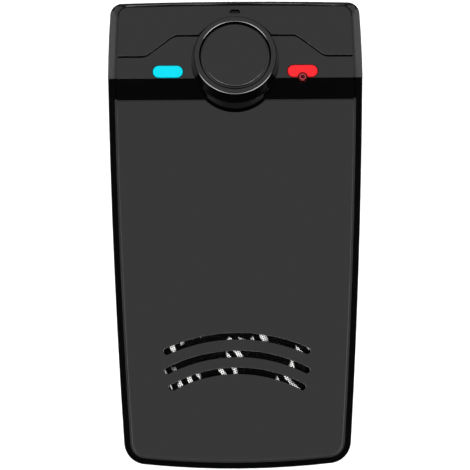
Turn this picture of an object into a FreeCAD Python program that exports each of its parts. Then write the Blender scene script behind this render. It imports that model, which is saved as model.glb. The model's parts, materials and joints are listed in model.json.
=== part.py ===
import FreeCAD
import Part
import math
import os

# Hands-free sun-visor speakerphone, in millimetres.
# It lies on its back: +Z is up out of its face, +Y is towards the knob, +X is to the right.
# The origin is under the middle of the body, on the surface that it lies on.

# ---- driving dimensions -------------------------------------------------------------

# body outline, seen from the face
body_length = 112.0
body_width = 60.8
widest_from_top = 20.5
waist_radius = 304.0
waist_reach = 5.5
flank_radius = 1829.0
top_edge_radius = 1100.0
bottom_edge_radius = 209.0
top_corner_radius = 2.9
bottom_corner_radius = 5.3

# body section, seen from the side
back_height = 4.0
ridge_over_panel = 3.1
ridge_from_top = 18.55
facet_run = 5.05
head_tilt = 17.0
parting_over_back = 8.4
parting_gap = 0.25
back_edge_radius = 3.2
lower_rim_run = 1.55
lower_rim_drop = 1.3
head_rim_run = 1.5
head_rim_drop = 0.3
shell_wall = 1.7
back_wall = 1.6

# outer panels and the deck that carries them
panel_thickness = 1.4
panel_edge_gap = 0.28
lower_rim_width = 1.7
head_rim_width = 1.9
top_rim_width = 0.7
field_corner_radius = 2.4
deck_thickness = 1.2
seam_gap = 0.42

# seam between the top cap and the control panel, measured up from the ridge
seam_outer_up = 5.22
seam_inner_up = 10.27
seam_outer_x = 21.4
seam_inner_x = 14.6
seam_corner_radius = 3.0

# knob and the pedestal under it, measured square to the sloping head
knob_up = 4.08
pedestal_radius = 10.6
pedestal_wall = 1.5
knob_foot_step = 0.1
knob_flare = 0.66
knob_height = 4.5
knob_lift = 0.75
knob_wall = 1.3
knob_ring_width = 1.39
knob_disc_depth = 0.9
knob_disc_gap = 0.66
knob_web = 0.9
knob_hub_radius = 3.6

# rotary encoder
encoder_side = 10.0
encoder_top_gap = 0.3
bushing_radius = 3.0
shaft_radius = 2.0
shaft_clearance = 0.05
shaft_flange_radius = 2.9
shaft_flange_thickness = 0.8
encoder_floor = 0.5
encoder_plunger_radius = 1.6
encoder_plunger_length = 1.3

# call keys
key_from_pedestal = 1.88
key_up = 1.6
key_length = 7.2
key_width = 3.0
key_proud = 0.3
key_clearance = 0.15
key_lip = 1.0
key_lip_thickness = 0.6
key_stem_radius = 1.0
switch_side = 3.6
switch_height = 2.0
switch_plunger_radius = 0.8
switch_plunger_length = 1.55
lens_radius = 1.1
lens_up = 0.1
lens_proud = 0.35
lens_length = 1.6

# microphone
mic_slot_up = 16.15
mic_slot_length = 2.6
mic_slot_width = 0.9
mic_up = 14.7
mic_radius = 2.0
mic_height = 1.5
mic_boot_radius = 2.6
mic_port_radius = 0.8

# circuit boards
key_board_depth = 7.2
key_board_thickness = 1.0
key_board_beyond_key = 5.7
key_board_low = -1.2
key_board_high = 17.6
key_board_screw_inset = 2.7
key_board_screw_v = 12.0
main_board_lift = 1.8
main_board_thickness = 1.0
main_board_side_gap = 1.15
main_board_end_gap = 2.0
main_board_to_speaker = 3.0

# parts on the main board
shield_left_x = -20.0
shield_right_x = -4.0
shield_below_ridge = 3.6
shield_above_ridge = 7.4
shield_height = 1.9
shield_wall = 0.2
shield_corner_radius = 0.8
radio_chip_side = 7.0
amplifier_chip_side = 6.0
charger_chip_side = 3.2
chip_height = 0.9
capacitor_radius = 2.0
capacitor_height = 4.6
capacitor_rim_radius = 0.3
lead_socket_length = 4.4
lead_socket_width = 3.8
lead_socket_height = 2.6
lead_socket_entry = 1.6
lead_radius = 0.4
ribbon_left_x = 2.0
ribbon_width = 8.0
ribbon_thickness = 0.24
ribbon_slot_gap = 0.02
ribbon_socket_height = 1.0
ribbon_socket_length = 3.0
ribbon_socket_side = 0.8
ribbon_socket_grip = 0.6
ribbon_socket_up = 6.0

# loudspeaker
speaker_from_bottom = 26.0
speaker_floor_gap = 0.2
speaker_radius = 20.0
sound_opening_lip = 1.7
mesh_gap = 0.2
mesh_thickness = 0.25
gasket_thickness = 1.6
speaker_flange_thickness = 1.0
speaker_flange_width = 2.7
basket_depth = 3.4
basket_foot_thickness = 0.6
basket_wall = 0.8
basket_foot_radius = 11.0
magnet_radius = 9.5
magnet_height = 1.8
top_plate_height = 1.0
yoke_height = 1.0
pole_radius = 4.0
coil_radius = 4.45
coil_wall = 0.3
coil_length = 4.4
gap_radius = 5.0
surround_width = 2.7
cone_wall = 0.4
surround_wall = 0.3
dust_cap_radius = 5.4
dust_cap_rise = 1.6
speaker_post_radius = 0.9

# sound slots: arcs about one centre below the loudspeaker
slot_centre_drop = 35.1
slot_radii = (40.9, 36.65, 32.6)
slot_half_spans = (16.8, 16.65, 15.6)
slot_width = 1.5

# battery
battery_width = 34.0
battery_length = 33.5
battery_height = 5.8
battery_from_board_end = 1.7
battery_pad_thickness = 1.0

# charging inlet
inlet_from_board_end = 19.0
inlet_width = 7.5
inlet_height = 2.6
inlet_depth = 5.6
inlet_wall = 0.3
inlet_recess = 1.0
inlet_clearance = 0.35

# screws
case_screw_radius = 1.0
case_screw_head_radius = 1.9
case_screw_head_height = 1.4
case_screw_from_bottom = 7.7
case_screw_under_ridge = 7.2
case_boss_radius = 2.7
case_boss_gap = 1.0
board_screw_radius = 0.8
board_screw_head_radius = 1.6
board_screw_head_height = 0.9
board_screw_inset = 3.4
board_post_radius = 2.2
screw_hole_clearance = 0.1
pilot_clearance = 0.02

# visor clip: one spring-steel wire that turns in two lugs
clip_wire_radius = 1.1
clip_pivot_under_ridge = 3.45
clip_leg_x = 17.4
clip_bend_radius = 2.6
clip_end_from_bottom = 18.0
clip_kick_length = 9.0
clip_end_corner_radius = 7.0
clip_lug_radius = 2.1
clip_lug_width = 2.8
clip_bore_clearance = 0.06
clip_stub_overhang = 0.4
grip_radius = 1.7
grip_length = 14.0

# ---- dependent sizes ----------------------------------------------------------------

V = FreeCAD.Vector
X_AXIS = V(1, 0, 0)
Z_AXIS = V(0, 0, 1)

half_length = body_length / 2
half_width = body_width / 2
widest_y = half_length - widest_from_top
ridge_y = half_length - ridge_from_top
facet_foot_y = ridge_y - facet_run
floor_z = back_height + back_wall
parting_z = back_height + parting_over_back
deck_depth = panel_thickness + deck_thickness
magnet_stack = yoke_height + magnet_height + top_plate_height + basket_foot_thickness
speaker_stack = magnet_stack + basket_depth + speaker_flange_thickness + gasket_thickness
panel_z = floor_z + speaker_floor_gap + speaker_stack + deck_depth
ridge_z = panel_z + ridge_over_panel
deck_z = panel_z - deck_depth
reach = body_length
tilt = math.radians(head_tilt)
head = FreeCAD.Placement(V(0, ridge_y, ridge_z), FreeCAD.Rotation(X_AXIS, -head_tilt))

seam_outer_y = ridge_y + seam_outer_up
seam_inner_y = ridge_y + seam_inner_up
speaker_y = speaker_from_bottom - half_length
slot_centre_y = speaker_y - slot_centre_drop
clip_pivot_y = ridge_y - clip_pivot_under_ridge
clip_end_y = clip_end_from_bottom - half_length

main_board_low_y = speaker_y + speaker_radius + main_board_to_speaker
main_board_high_y = half_length - shell_wall - main_board_end_gap
battery_low_y = main_board_low_y + battery_from_board_end
inlet_y = main_board_low_y + inlet_from_board_end
main_board_z = floor_z + main_board_lift
main_board_top = main_board_z + main_board_thickness
key_board_w = -key_board_depth
key_board_under = key_board_w - key_board_thickness
speaker_face_z = deck_z - gasket_thickness
basket_floor_z = speaker_face_z - speaker_flange_thickness - basket_depth


# knob and keys, sized and placed from the pedestal
knob_foot_radius = pedestal_radius - knob_foot_step
knob_top_radius = knob_foot_radius - knob_flare
knob_disc_radius = knob_top_radius - knob_ring_width - knob_disc_gap
key_x = pedestal_radius + key_from_pedestal + key_length / 2
key_board_half_width = key_x + key_board_beyond_key
key_board_screw_x = key_board_half_width - key_board_screw_inset

# loudspeaker, sized from its outer radius
speaker_flange_inner = speaker_radius - speaker_flange_width
cone_edge_radius = speaker_flange_inner - surround_width
sound_opening_radius = speaker_radius - sound_opening_lip
mesh_radius = sound_opening_radius - mesh_gap

# places up the sloping head, measured along its surface from the ridge
knob_v = knob_up / math.cos(tilt)
key_v = key_up / math.cos(tilt)
lens_v = lens_up / math.cos(tilt)
mic_slot_v = mic_slot_up / math.cos(tilt)
mic_v = mic_up / math.cos(tilt)


# ---- plain shapes -------------------------------------------------------------------

def box(x0, x1, y0, y1, z0, z1):
    return Part.makeBox(x1 - x0, y1 - y0, z1 - z0, V(x0, y0, z0))


def rod(radius, x, y, z0, z1):
    return Part.makeCylinder(radius, z1 - z0, V(x, y, z0), Z_AXIS)


def tube(outer, inner, x, y, z0, z1):
    return rod(outer, x, y, z0, z1).cut(rod(inner, x, y, z0, z1))


def frustum(foot_radius, top_radius, x, y, z0, z1):
    return Part.makeCone(foot_radius, top_radius, z1 - z0, V(x, y, z0), Z_AXIS)


def joined(shapes):
    whole = shapes[0]
    for shape in shapes[1:]:
        whole = whole.fuse(shape)
    return whole.removeSplitter()


def both_sides(shape):
    """The shape and its mirror image on the other side of the middle."""
    return [shape, shape.mirror(V(0, 0, 0), X_AXIS)]


def on_head(shape):
    """Moves a shape drawn in the head's own axes (across, up the slope, out of it) into place."""
    placed = shape.copy()
    placed.Placement = head.multiply(placed.Placement)
    return placed


def stadium(length, width, x, y, z0, z1):
    """A flat bar with fully round ends, its length along X."""
    straight = (length - width) / 2
    radius = width / 2
    ends = [rod(radius, x + side * straight, y, z0, z1) for side in (-1, 1)]
    middle = box(x - straight, x + straight, y - radius, y + radius, z0, z1)
    return joined([middle] + ends)


def flat_arc(start, middle, end):
    return Part.Arc(V(*start), V(*middle), V(*end)).toShape()


def rounded_path(points, bend_radius):
    """Straight runs through the points, with a tangent arc in place of each inner point."""
    points = [V(*point) for point in points]
    edges = []
    last = points[0]
    for before, corner, after in zip(points, points[1:], points[2:]):
        back = (before - corner).normalize()
        on = (after - corner).normalize()
        half_turn = (math.pi - back.getAngle(on)) / 2
        trim = bend_radius * math.tan(half_turn)
        bisector = (back + on).normalize()
        centre = corner + bisector * (bend_radius / math.cos(half_turn))
        first = corner + back * trim
        second = corner + on * trim
        edges.append(Part.makeLine(last, first))
        edges.append(Part.Arc(first, centre - bisector * bend_radius, second).toShape())
        last = second
    edges.append(Part.makeLine(last, points[-1]))
    return Part.Wire(edges)


def wire_rod(path, radius):
    """A round wire along a path of straight runs and arcs."""
    start = path.Edges[0]
    position = start.valueAt(start.FirstParameter)
    direction = start.tangentAt(start.FirstParameter)
    section = Part.Wire(Part.makeCircle(radius, position, direction))
    return path.makePipeShell([section], True, False)


# ---- body outline -------------------------------------------------------------------

waist_centre_x = half_width - waist_radius
waist_turn = math.asin(waist_reach / waist_radius)
flank_centre_x = waist_centre_x + (waist_radius - flank_radius) * math.cos(waist_turn)
flank_centre_y = widest_y + (flank_radius - waist_radius) * math.sin(waist_turn)
smallest_corner = 0.4


def joint_y(inset):
    """Where the waist arc runs into the flank arc, on the outline drawn in by inset."""
    return widest_y - (waist_radius - inset) * math.sin(waist_turn)


def side_x(y, inset=0):
    """Half width of the body at y, drawn in by inset."""
    if y >= joint_y(inset):
        return waist_centre_x + math.sqrt((waist_radius - inset) ** 2 - (y - widest_y) ** 2)
    return flank_centre_x + math.sqrt((flank_radius - inset) ** 2 - (y - flank_centre_y) ** 2)


def top_y(x, inset=0):
    drop = top_edge_radius - math.sqrt((top_edge_radius - inset) ** 2 - x ** 2)
    return half_length - drop


def bottom_y(x, inset=0):
    drop = bottom_edge_radius - math.sqrt((bottom_edge_radius - inset) ** 2 - x ** 2)
    return -half_length + drop


def corner_of(end_y, inset):
    """Where the side meets the top or bottom edge, before the corner is rounded."""
    y = end_y(half_width - inset, inset)
    for step in range(12):
        y = end_y(side_x(y, inset), inset)
    return side_x(y, inset), y


def upright_edges(shape):
    return [e for e in shape.Edges if abs(e.tangentAt(e.FirstParameter).z) > 0.9]


def prism(inset, z0, z1):
    """The body's outline, drawn in by inset, from z0 up to z1."""
    top_x, high_y = corner_of(top_y, inset)
    bottom_x, low_y = corner_of(bottom_y, inset)
    middle_y = joint_y(inset)
    joint_x = side_x(middle_y, inset)
    waist_y = (high_y + middle_y) / 2
    flank_y = (middle_y + low_y) / 2
    waist_x = side_x(waist_y, inset)
    flank_x = side_x(flank_y, inset)
    edges = [
        flat_arc((-top_x, high_y, z0), (0, top_y(0, inset), z0), (top_x, high_y, z0)),
        flat_arc((top_x, high_y, z0), (waist_x, waist_y, z0), (joint_x, middle_y, z0)),
        flat_arc((joint_x, middle_y, z0), (flank_x, flank_y, z0), (bottom_x, low_y, z0)),
        flat_arc((bottom_x, low_y, z0), (0, bottom_y(0, inset), z0), (-bottom_x, low_y, z0)),
        flat_arc((-bottom_x, low_y, z0), (-flank_x, flank_y, z0), (-joint_x, middle_y, z0)),
        flat_arc((-joint_x, middle_y, z0), (-waist_x, waist_y, z0), (-top_x, high_y, z0)),
    ]
    block = Part.Face(Part.Wire(edges)).extrude(V(0, 0, z1 - z0))
    corners = [e for e in upright_edges(block) if abs(e.CenterOfMass.y - middle_y) > 1]
    top_corners = [e for e in corners if e.CenterOfMass.y > 0]
    bottom_corners = [e for e in corners if e.CenterOfMass.y < 0]
    block = block.makeFillet(max(top_corner_radius - inset, smallest_corner), top_corners)
    bottom_corners = [e for e in upright_edges(block)
                      if e.CenterOfMass.y < 0 and abs(abs(e.CenterOfMass.x) - bottom_x) < 0.01]
    return block.makeFillet(max(bottom_corner_radius - inset, smallest_corner), bottom_corners)


def outline_wire(inset, z):
    """The outline drawn in by inset, as a flat wire at z."""
    block = prism(inset, z, z + 1)
    return min(block.Faces, key=lambda face: face.CenterOfMass.z).OuterWire


# ---- places that follow the outline -------------------------------------------------

main_board_side = min(side_x(main_board_low_y), side_x(main_board_high_y))
main_board_half_width = main_board_side - shell_wall - main_board_side_gap


def boss_point(y):
    """A case screw's boss stands just inside the side wall."""
    return side_x(y) - shell_wall - case_boss_gap - case_boss_radius, y


case_screw_points = (
    boss_point(case_screw_from_bottom - half_length),
    boss_point(ridge_y - case_screw_under_ridge),
)
board_screw_x = main_board_half_width - board_screw_inset
board_screw_points = (
    (board_screw_x, main_board_low_y + board_screw_inset),
    (board_screw_x, main_board_high_y - board_screw_inset),
)
board_edge_x = main_board_half_width - 4.2


# ---- the face's profile -------------------------------------------------------------

def skin_line(depth):
    """Side view of the face at a depth under its surface: panel, facet and sloping head."""
    facet_angle = math.atan2(ridge_over_panel, ridge_y - facet_foot_y)
    far_y = half_length + 10
    far_z = ridge_z - (far_y - ridge_y) * math.tan(tilt)
    corners = (
        (-reach, panel_z, 0, 0),
        (facet_foot_y, panel_z, 0, facet_angle),
        (ridge_y, ridge_z, facet_angle, -tilt),
        (far_y, far_z, -tilt, -tilt),
    )
    line = []
    for y, z, before, after in corners:
        lean = (before + after) / 2
        shift = depth / math.cos((after - before) / 2)
        line.append(V(-reach, y + shift * math.sin(lean), z - shift * math.cos(lean)))
    return line


def skin_band(outer_depth, inner_depth):
    """The layer between two depths under the face, as wide as the body and more."""
    outer = skin_line(outer_depth)
    inner = skin_line(inner_depth)
    loop = outer + inner[::-1] + [outer[0]]
    return Part.Face(Part.makePolygon(loop)).extrude(V(2 * reach, 0, 0))


def under_skin(depth):
    """Everything below that depth under the face."""
    line = skin_line(depth)
    low = [V(-reach, line[-1].y, -reach), V(-reach, line[0].y, -reach)]
    return Part.Face(Part.makePolygon(line + low + [line[0]])).extrude(V(2 * reach, 0, 0))


def between_y(y0, y1):
    return box(-reach, reach, y0, y1, -reach, reach)


def pedestal_rod(radius, w0, w1):
    return on_head(rod(radius, 0, knob_v, w0, w1))


def key_column(side, growth, w0, w1):
    """The stadium shape of one key, grown all round, between two heights on the head."""
    length = key_length + 2 * growth
    width = key_width + 2 * growth
    return on_head(stadium(length, width, side * key_x, key_v, w0, w1))


def lens_rod(radius, w0, w1):
    return on_head(rod(radius, key_x, lens_v, w0, w1))


def panel_field(gap=0):
    """Room for the outer panels, drawn in by a gap: the narrow rim runs round it."""
    low = prism(lower_rim_width + gap, 0, reach).common(between_y(-reach, ridge_y))
    head_field = prism(head_rim_width + gap, 0, reach).common(between_y(ridge_y, reach))
    strip_y = half_length - head_rim_width - top_corner_radius
    strip_x = side_x(strip_y, head_rim_width + gap)
    sides = box(-strip_x, strip_x, strip_y, reach, 0, reach)
    upper = prism(top_rim_width + gap, 0, reach).common(sides)
    ends = [e for e in upright_edges(upper) if e.CenterOfMass.y > strip_y + 1]
    upper = upper.makeFillet(field_corner_radius - gap, ends)
    return joined([low, head_field, upper])


def seam_cut(sides):
    """The field's part above the seam (+1) or below it (-1), half the seam's gap away from it."""
    half_gap = sides * seam_gap / 2
    points = [
        (-reach, seam_outer_y + half_gap, 0),
        (-seam_outer_x, seam_outer_y + half_gap, 0),
        (-seam_inner_x, seam_inner_y + half_gap, 0),
        (seam_inner_x, seam_inner_y + half_gap, 0),
        (seam_outer_x, seam_outer_y + half_gap, 0),
        (reach, seam_outer_y + half_gap, 0),
    ]
    path = rounded_path(points, seam_corner_radius)
    far = sides * reach
    rim = [V(reach, seam_outer_y + half_gap, 0), V(reach, far, 0), V(-reach, far, 0),
           V(-reach, seam_outer_y + half_gap, 0)]
    edges = path.Edges + [Part.makeLine(a, b) for a, b in zip(rim, rim[1:])]
    return Part.Face(Part.Wire(Part.__sortEdges__(edges))).extrude(V(0, 0, reach))


# ---- housing ------------------------------------------------------------------------

def lower_rim_shape():
    """The body's outer form below the facet: upright sides, then a sloping rim."""
    foot_z = panel_z - lower_rim_drop
    slope = Part.makeLoft([outline_wire(0, foot_z), outline_wire(lower_rim_run, panel_z)], True, True)
    side = prism(0, 0, foot_z)
    return joined([side, slope])


def facet_rim_shape():
    """The body's outer form under the facet: the sloping rim climbs along it to the ridge."""
    side = side_x(facet_foot_y)
    foot_z = panel_z - lower_rim_drop
    points = [(-side, 0), (-side, foot_z), (lower_rim_run - side, panel_z),
              (side - lower_rim_run, panel_z), (side, foot_z), (side, 0), (-side, 0)]
    section = Part.Face(Part.makePolygon([V(x, facet_foot_y, z) for x, z in points]))
    climb = section.extrude(V(0, ridge_y - facet_foot_y, ridge_over_panel))
    below = prism(0, 0, foot_z)
    return joined([climb, below]).common(prism(0, 0, reach)).common(between_y(facet_foot_y, ridge_y))


def head_section(inset, depth):
    """The outline drawn in by inset, cut by the head's plane at a depth under its surface."""
    out = V(0, math.sin(tilt), math.cos(tilt))
    height = out.dot(V(0, ridge_y, ridge_z)) - depth
    return prism(inset, 0, reach).slice(out, height)[0]


def head_rim_shape():
    """The body's outer form above the ridge: a rim that leans out a little all round."""
    low_wire = head_section(0, head_rim_drop)
    lean = Part.makeLoft([low_wire, head_section(head_rim_run, 0)], True, True)
    body = prism(0, 0, reach).common(under_skin(head_rim_drop))
    return joined([body.common(between_y(ridge_y, reach)), lean.common(between_y(ridge_y, reach))])


def front_housing(field):
    low = lower_rim_shape().common(between_y(-reach, facet_foot_y))
    shell = joined([low, facet_rim_shape(), head_rim_shape()])
    shell = shell.common(box(-reach, reach, -reach, reach, parting_z + parting_gap, reach))
    above_deck = prism(0, 0, reach).common(skin_band(-reach / 4, panel_thickness))
    shell = shell.cut(field.common(above_deck))
    shell = shell.cut(prism(shell_wall, 0, reach).common(under_skin(deck_depth)))
    shell = shell.cut(rod(sound_opening_radius, 0, speaker_y, 0, reach))
    half_side = encoder_side / 2 + 0.4
    shell = shell.cut(on_head(box(-half_side, half_side, knob_v - half_side, knob_v + half_side,
                                  -key_board_depth, 1)))
    for side in (-1, 1):
        shell = shell.cut(key_column(side, key_clearance, -key_board_depth, 1))
    shell = shell.cut(lens_rod(lens_radius + 0.02, -lens_length, 1))
    channel_end = mic_slot_v + mic_slot_width / 2
    shell = shell.cut(on_head(box(-mic_slot_length / 2, mic_slot_length / 2, mic_v,
                                  channel_end, -deck_depth - 1, 1)))
    bosses = []
    for x, y in case_screw_points:
        boss = rod(case_boss_radius, x, y, parting_z, reach).common(under_skin(deck_depth - 0.2))
        pilot = rod(case_screw_radius + pilot_clearance, x, y, 0, panel_z - deck_depth - 0.5)
        bosses += both_sides(boss.cut(pilot))
    for boss in bosses:
        shell = shell.fuse(boss)
    post = on_head(rod(board_post_radius, key_board_screw_x, key_board_screw_v,
                       key_board_w, -deck_depth + 0.2))
    pilot = on_head(rod(board_screw_radius + pilot_clearance, key_board_screw_x,
                        key_board_screw_v, key_board_w, -deck_depth - 0.4))
    for one in both_sides(post.cut(pilot)):
        shell = shell.fuse(one)
    return shell.removeSplitter()


def back_cover():
    cover = prism(0, back_height, parting_z)
    rim = [e for e in cover.Edges if e.BoundBox.ZMax < back_height + 0.01]
    cover = cover.makeFillet(back_edge_radius, rim)
    cover = cover.cut(prism(shell_wall, floor_z, parting_z))
    cavity_edge = back_edge_radius - back_wall
    corner_fill = prism(shell_wall - 0.2, floor_z - 0.2, floor_z + cavity_edge)
    hollow = prism(shell_wall, floor_z, floor_z + cavity_edge)
    hollow_rim = [e for e in hollow.Edges if e.BoundBox.ZMax < floor_z + 0.01]
    hollow = hollow.makeChamfer(cavity_edge / 2, hollow_rim)
    cover = cover.fuse(corner_fill.cut(hollow).common(prism(0.5, floor_z, parting_z)))
    parts = []
    for x, y in case_screw_points:
        parts += both_sides(rod(case_boss_radius, x, y, back_height + 0.5, parting_z))
    for x, y in board_screw_points:
        parts += both_sides(rod(board_post_radius, x, y, floor_z - 0.2, main_board_z))
    post_ring = speaker_radius - speaker_post_radius / 3
    post_top = speaker_face_z - speaker_flange_thickness
    for quarter in range(4):
        angle = math.radians(45 + 90 * quarter)
        parts.append(rod(speaker_post_radius, post_ring * math.cos(angle),
                         speaker_y + post_ring * math.sin(angle), floor_z - 0.2, post_top))
    lug_inner = clip_leg_x - clip_bend_radius - 0.2 - clip_lug_width
    clip_z = clip_lug_radius
    barrel = Part.makeCylinder(clip_lug_radius, clip_lug_width,
                               V(lug_inner, clip_pivot_y, clip_z), X_AXIS)
    web = box(lug_inner, lug_inner + clip_lug_width, clip_pivot_y - clip_lug_radius,
              clip_pivot_y + clip_lug_radius, clip_z, back_height + 0.4)
    parts += both_sides(barrel.fuse(web))
    for part in parts:
        cover = cover.fuse(part)
    bore = Part.makeCylinder(clip_wire_radius + clip_bore_clearance, clip_lug_width + 1,
                             V(lug_inner - 0.5, clip_pivot_y, clip_z), X_AXIS)
    for one in both_sides(bore):
        cover = cover.cut(one)
    for x, y in case_screw_points:
        hole = rod(case_screw_radius + screw_hole_clearance, x, y, 0, reach)
        sink = rod(case_screw_head_radius + screw_hole_clearance, x, y, 0,
                   back_height + case_screw_head_height + 0.3)
        for one in both_sides(hole.fuse(sink)):
            cover = cover.cut(one)
    for x, y in board_screw_points:
        hole = rod(board_screw_radius + pilot_clearance, x, y, floor_z - 0.6, reach)
        for one in both_sides(hole):
            cover = cover.cut(one)
    cover = cover.cut(inlet_block(inlet_clearance, side_x(inlet_y) + 1))
    return cover.removeSplitter()


# ---- outer panels -------------------------------------------------------------------

def panel_blank(edge_gap):
    """The whole outer skin, a little smaller than the pocket that it lies in."""
    skin = skin_band(0, panel_thickness)
    return skin.common(panel_field(edge_gap))


def top_cap(blank):
    cap = blank.common(seam_cut(1)).cut(pedestal_rod(pedestal_radius + seam_gap, -20, 20))
    slot = on_head(stadium(mic_slot_length, mic_slot_width, 0, mic_slot_v, -20, 20))
    return cap.cut(slot)


def control_panel(blank):
    panel = blank.common(seam_cut(-1)).common(between_y(facet_foot_y, reach))
    above_deck = skin_band(-reach / 4, panel_thickness)
    pedestal = pedestal_rod(pedestal_radius, -20, 0).common(above_deck)
    hollow = pedestal_rod(pedestal_radius - pedestal_wall, -20, -panel_thickness)
    panel = panel.cut(pedestal_rod(pedestal_radius - 0.2, -20, 20))
    panel = panel.fuse(pedestal.cut(hollow)).removeSplitter()
    panel = panel.cut(pedestal_rod(bushing_radius + 0.35, -20, 20))
    for side in (-1, 1):
        panel = panel.cut(key_column(side, key_clearance, -20, 20))
    return panel.cut(lens_rod(lens_radius + 0.02, -lens_length, 20))


def slot_tool(radius, half_span):
    """One curved sound slot with round ends."""
    end_angle = math.asin(half_span / radius)
    outer = radius + slot_width / 2
    inner = radius - slot_width / 2
    ring = tube(outer, inner, 0, slot_centre_y, deck_z, panel_z + 1)
    far = outer + 5
    wedge_points = [
        V(0, slot_centre_y, deck_z),
        V(far * math.tan(end_angle), slot_centre_y + far, deck_z),
        V(-far * math.tan(end_angle), slot_centre_y + far, deck_z),
        V(0, slot_centre_y, deck_z),
    ]
    wedge = Part.Face(Part.makePolygon(wedge_points)).extrude(V(0, 0, panel_z + 1 - deck_z))
    tool = ring.common(wedge)
    end_y = slot_centre_y + radius * math.cos(end_angle)
    for side in (-1, 1):
        tool = tool.fuse(rod(slot_width / 2, side * half_span, end_y, deck_z, panel_z + 1))
    return tool


def speaker_panel(blank):
    panel = blank.common(between_y(-reach, facet_foot_y - seam_gap / 2))
    panel = panel.cut(pedestal_rod(pedestal_radius + seam_gap, -20, 20))
    for radius, half_span in zip(slot_radii, slot_half_spans):
        panel = panel.cut(slot_tool(radius, half_span))
    return panel


# ---- knob and encoder ---------------------------------------------------------------

def knob_rim():
    top = knob_height
    seat = top - knob_disc_depth
    web_under = seat - knob_web
    slope = (knob_foot_radius - knob_top_radius) / (knob_height - knob_lift)
    skirt = frustum(knob_foot_radius, knob_top_radius, 0, knob_v, knob_lift, top)
    skirt = skirt.cut(rod(knob_disc_radius + knob_disc_gap, 0, knob_v, seat, top + 1))
    inner_foot = knob_foot_radius - knob_wall
    inner_top = inner_foot - slope * (web_under - knob_lift)
    skirt = skirt.cut(frustum(inner_foot, inner_top, 0, knob_v, knob_lift, web_under))
    hub = rod(knob_hub_radius, 0, knob_v, knob_lift, web_under + 0.2)
    whole = skirt.fuse(hub)
    whole = whole.cut(rod(shaft_radius + 0.02, 0, knob_v, 0, seat - 0.4))
    return on_head(whole.removeSplitter())


def knob_disc():
    seat = knob_height - knob_disc_depth
    disc = rod(knob_disc_radius, 0, knob_v, seat, knob_height)
    rim = [e for e in disc.Edges if e.BoundBox.ZMin > knob_height - 0.01]
    return on_head(disc.makeChamfer(0.15, rim))


def encoder_levels():
    body_top = -deck_depth - encoder_top_gap
    ceiling = body_top - 0.5
    flange_top = ceiling - 0.1
    shaft_foot = flange_top - shaft_flange_thickness
    return body_top, ceiling, flange_top, shaft_foot


def encoder_body():
    body_top, ceiling, flange_top, shaft_foot = encoder_levels()
    half = encoder_side / 2
    body = box(-half, half, knob_v - half, knob_v + half, key_board_w, body_top)
    body = body.makeFillet(0.6, upright_edges(body))
    body = body.fuse(rod(bushing_radius, 0, knob_v, body_top, -0.3))
    body = body.cut(rod(shaft_radius + shaft_clearance, 0, knob_v, key_board_w + 1, 1))
    cavity_radius = shaft_flange_radius + 0.4
    body = body.cut(rod(cavity_radius, 0, knob_v, key_board_w + encoder_floor, ceiling))
    return on_head(body.removeSplitter())


def encoder_shaft():
    body_top, ceiling, flange_top, shaft_foot = encoder_levels()
    top = knob_height - knob_disc_depth - 0.45
    shaft = rod(shaft_radius, 0, knob_v, shaft_foot, top)
    flange = rod(shaft_flange_radius, 0, knob_v, shaft_foot, flange_top)
    return on_head(shaft.fuse(flange).removeSplitter())


def encoder_plunger():
    shaft_foot = encoder_levels()[3]
    top = shaft_foot - 0.05
    return on_head(rod(encoder_plunger_radius, 0, knob_v, top - encoder_plunger_length, top))


# ---- call keys ----------------------------------------------------------------------

def key_cap(side):
    """A key with a lip on three sides that keeps it in, and a stem that works its switch."""
    body_under = -deck_depth - 0.3
    lip_under = body_under - key_lip_thickness
    x = side * key_x
    cap = stadium(key_length, key_width, x, key_v, body_under, key_proud)
    top_edges = [e for e in cap.Edges if e.BoundBox.ZMin > key_proud - 0.01]
    cap = cap.makeFillet(0.25, top_edges)
    half_lip = key_length / 2 + key_lip
    lip = box(x - half_lip, x + half_lip, key_v - 0.3, key_v + key_width / 2 + key_lip,
              lip_under, body_under)
    stem_foot = key_board_w + switch_height + switch_plunger_length - 0.55
    stem = rod(key_stem_radius, x, key_v, stem_foot, body_under)
    key = joined([cap, lip, stem])
    if side > 0:
        key = key.cut(rod(lens_radius + key_clearance, x, lens_v, -lens_length - 0.2, 1))
    return on_head(key)


def power_lens():
    lens = rod(lens_radius, key_x, lens_v, -lens_length, lens_proud)
    rim = [e for e in lens.Edges if e.BoundBox.ZMin > lens_proud - 0.01]
    return on_head(lens.makeFillet(0.15, rim))


def switch_body(side):
    half = switch_side / 2
    top = key_board_w + switch_height
    x = side * key_x
    body = box(x - half, x + half, key_v - half, key_v + half, key_board_w, top)
    body = body.cut(rod(switch_plunger_radius + 0.08, x, key_v, top - 1.1, top + 1))
    return on_head(body)


def switch_plunger(side):
    stem_foot = key_board_w + switch_height + switch_plunger_length - 0.55
    x = side * key_x
    return on_head(rod(switch_plunger_radius, x, key_v, stem_foot - switch_plunger_length,
                       stem_foot))


# ---- microphone ---------------------------------------------------------------------

def mic_capsule():
    return on_head(rod(mic_radius, 0, mic_v, key_board_w, key_board_w + mic_height))


def mic_boot():
    boot = rod(mic_boot_radius, 0, mic_v, key_board_w, -deck_depth)
    pocket = rod(mic_radius + 0.02, 0, mic_v, key_board_w, key_board_w + mic_height + 0.1)
    port = rod(mic_port_radius, 0, mic_v, key_board_w, 1)
    return on_head(boot.cut(pocket).cut(port))


# ---- circuit boards -----------------------------------------------------------------

def key_board():
    board = box(-key_board_half_width, key_board_half_width, key_board_low, key_board_high,
                key_board_under, key_board_w)
    board = board.makeFillet(1.0, upright_edges(board))
    hole = rod(board_screw_radius + screw_hole_clearance, key_board_screw_x,
               key_board_screw_v, -reach, reach)
    for one in both_sides(hole):
        board = board.cut(one)
    return on_head(board)


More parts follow.
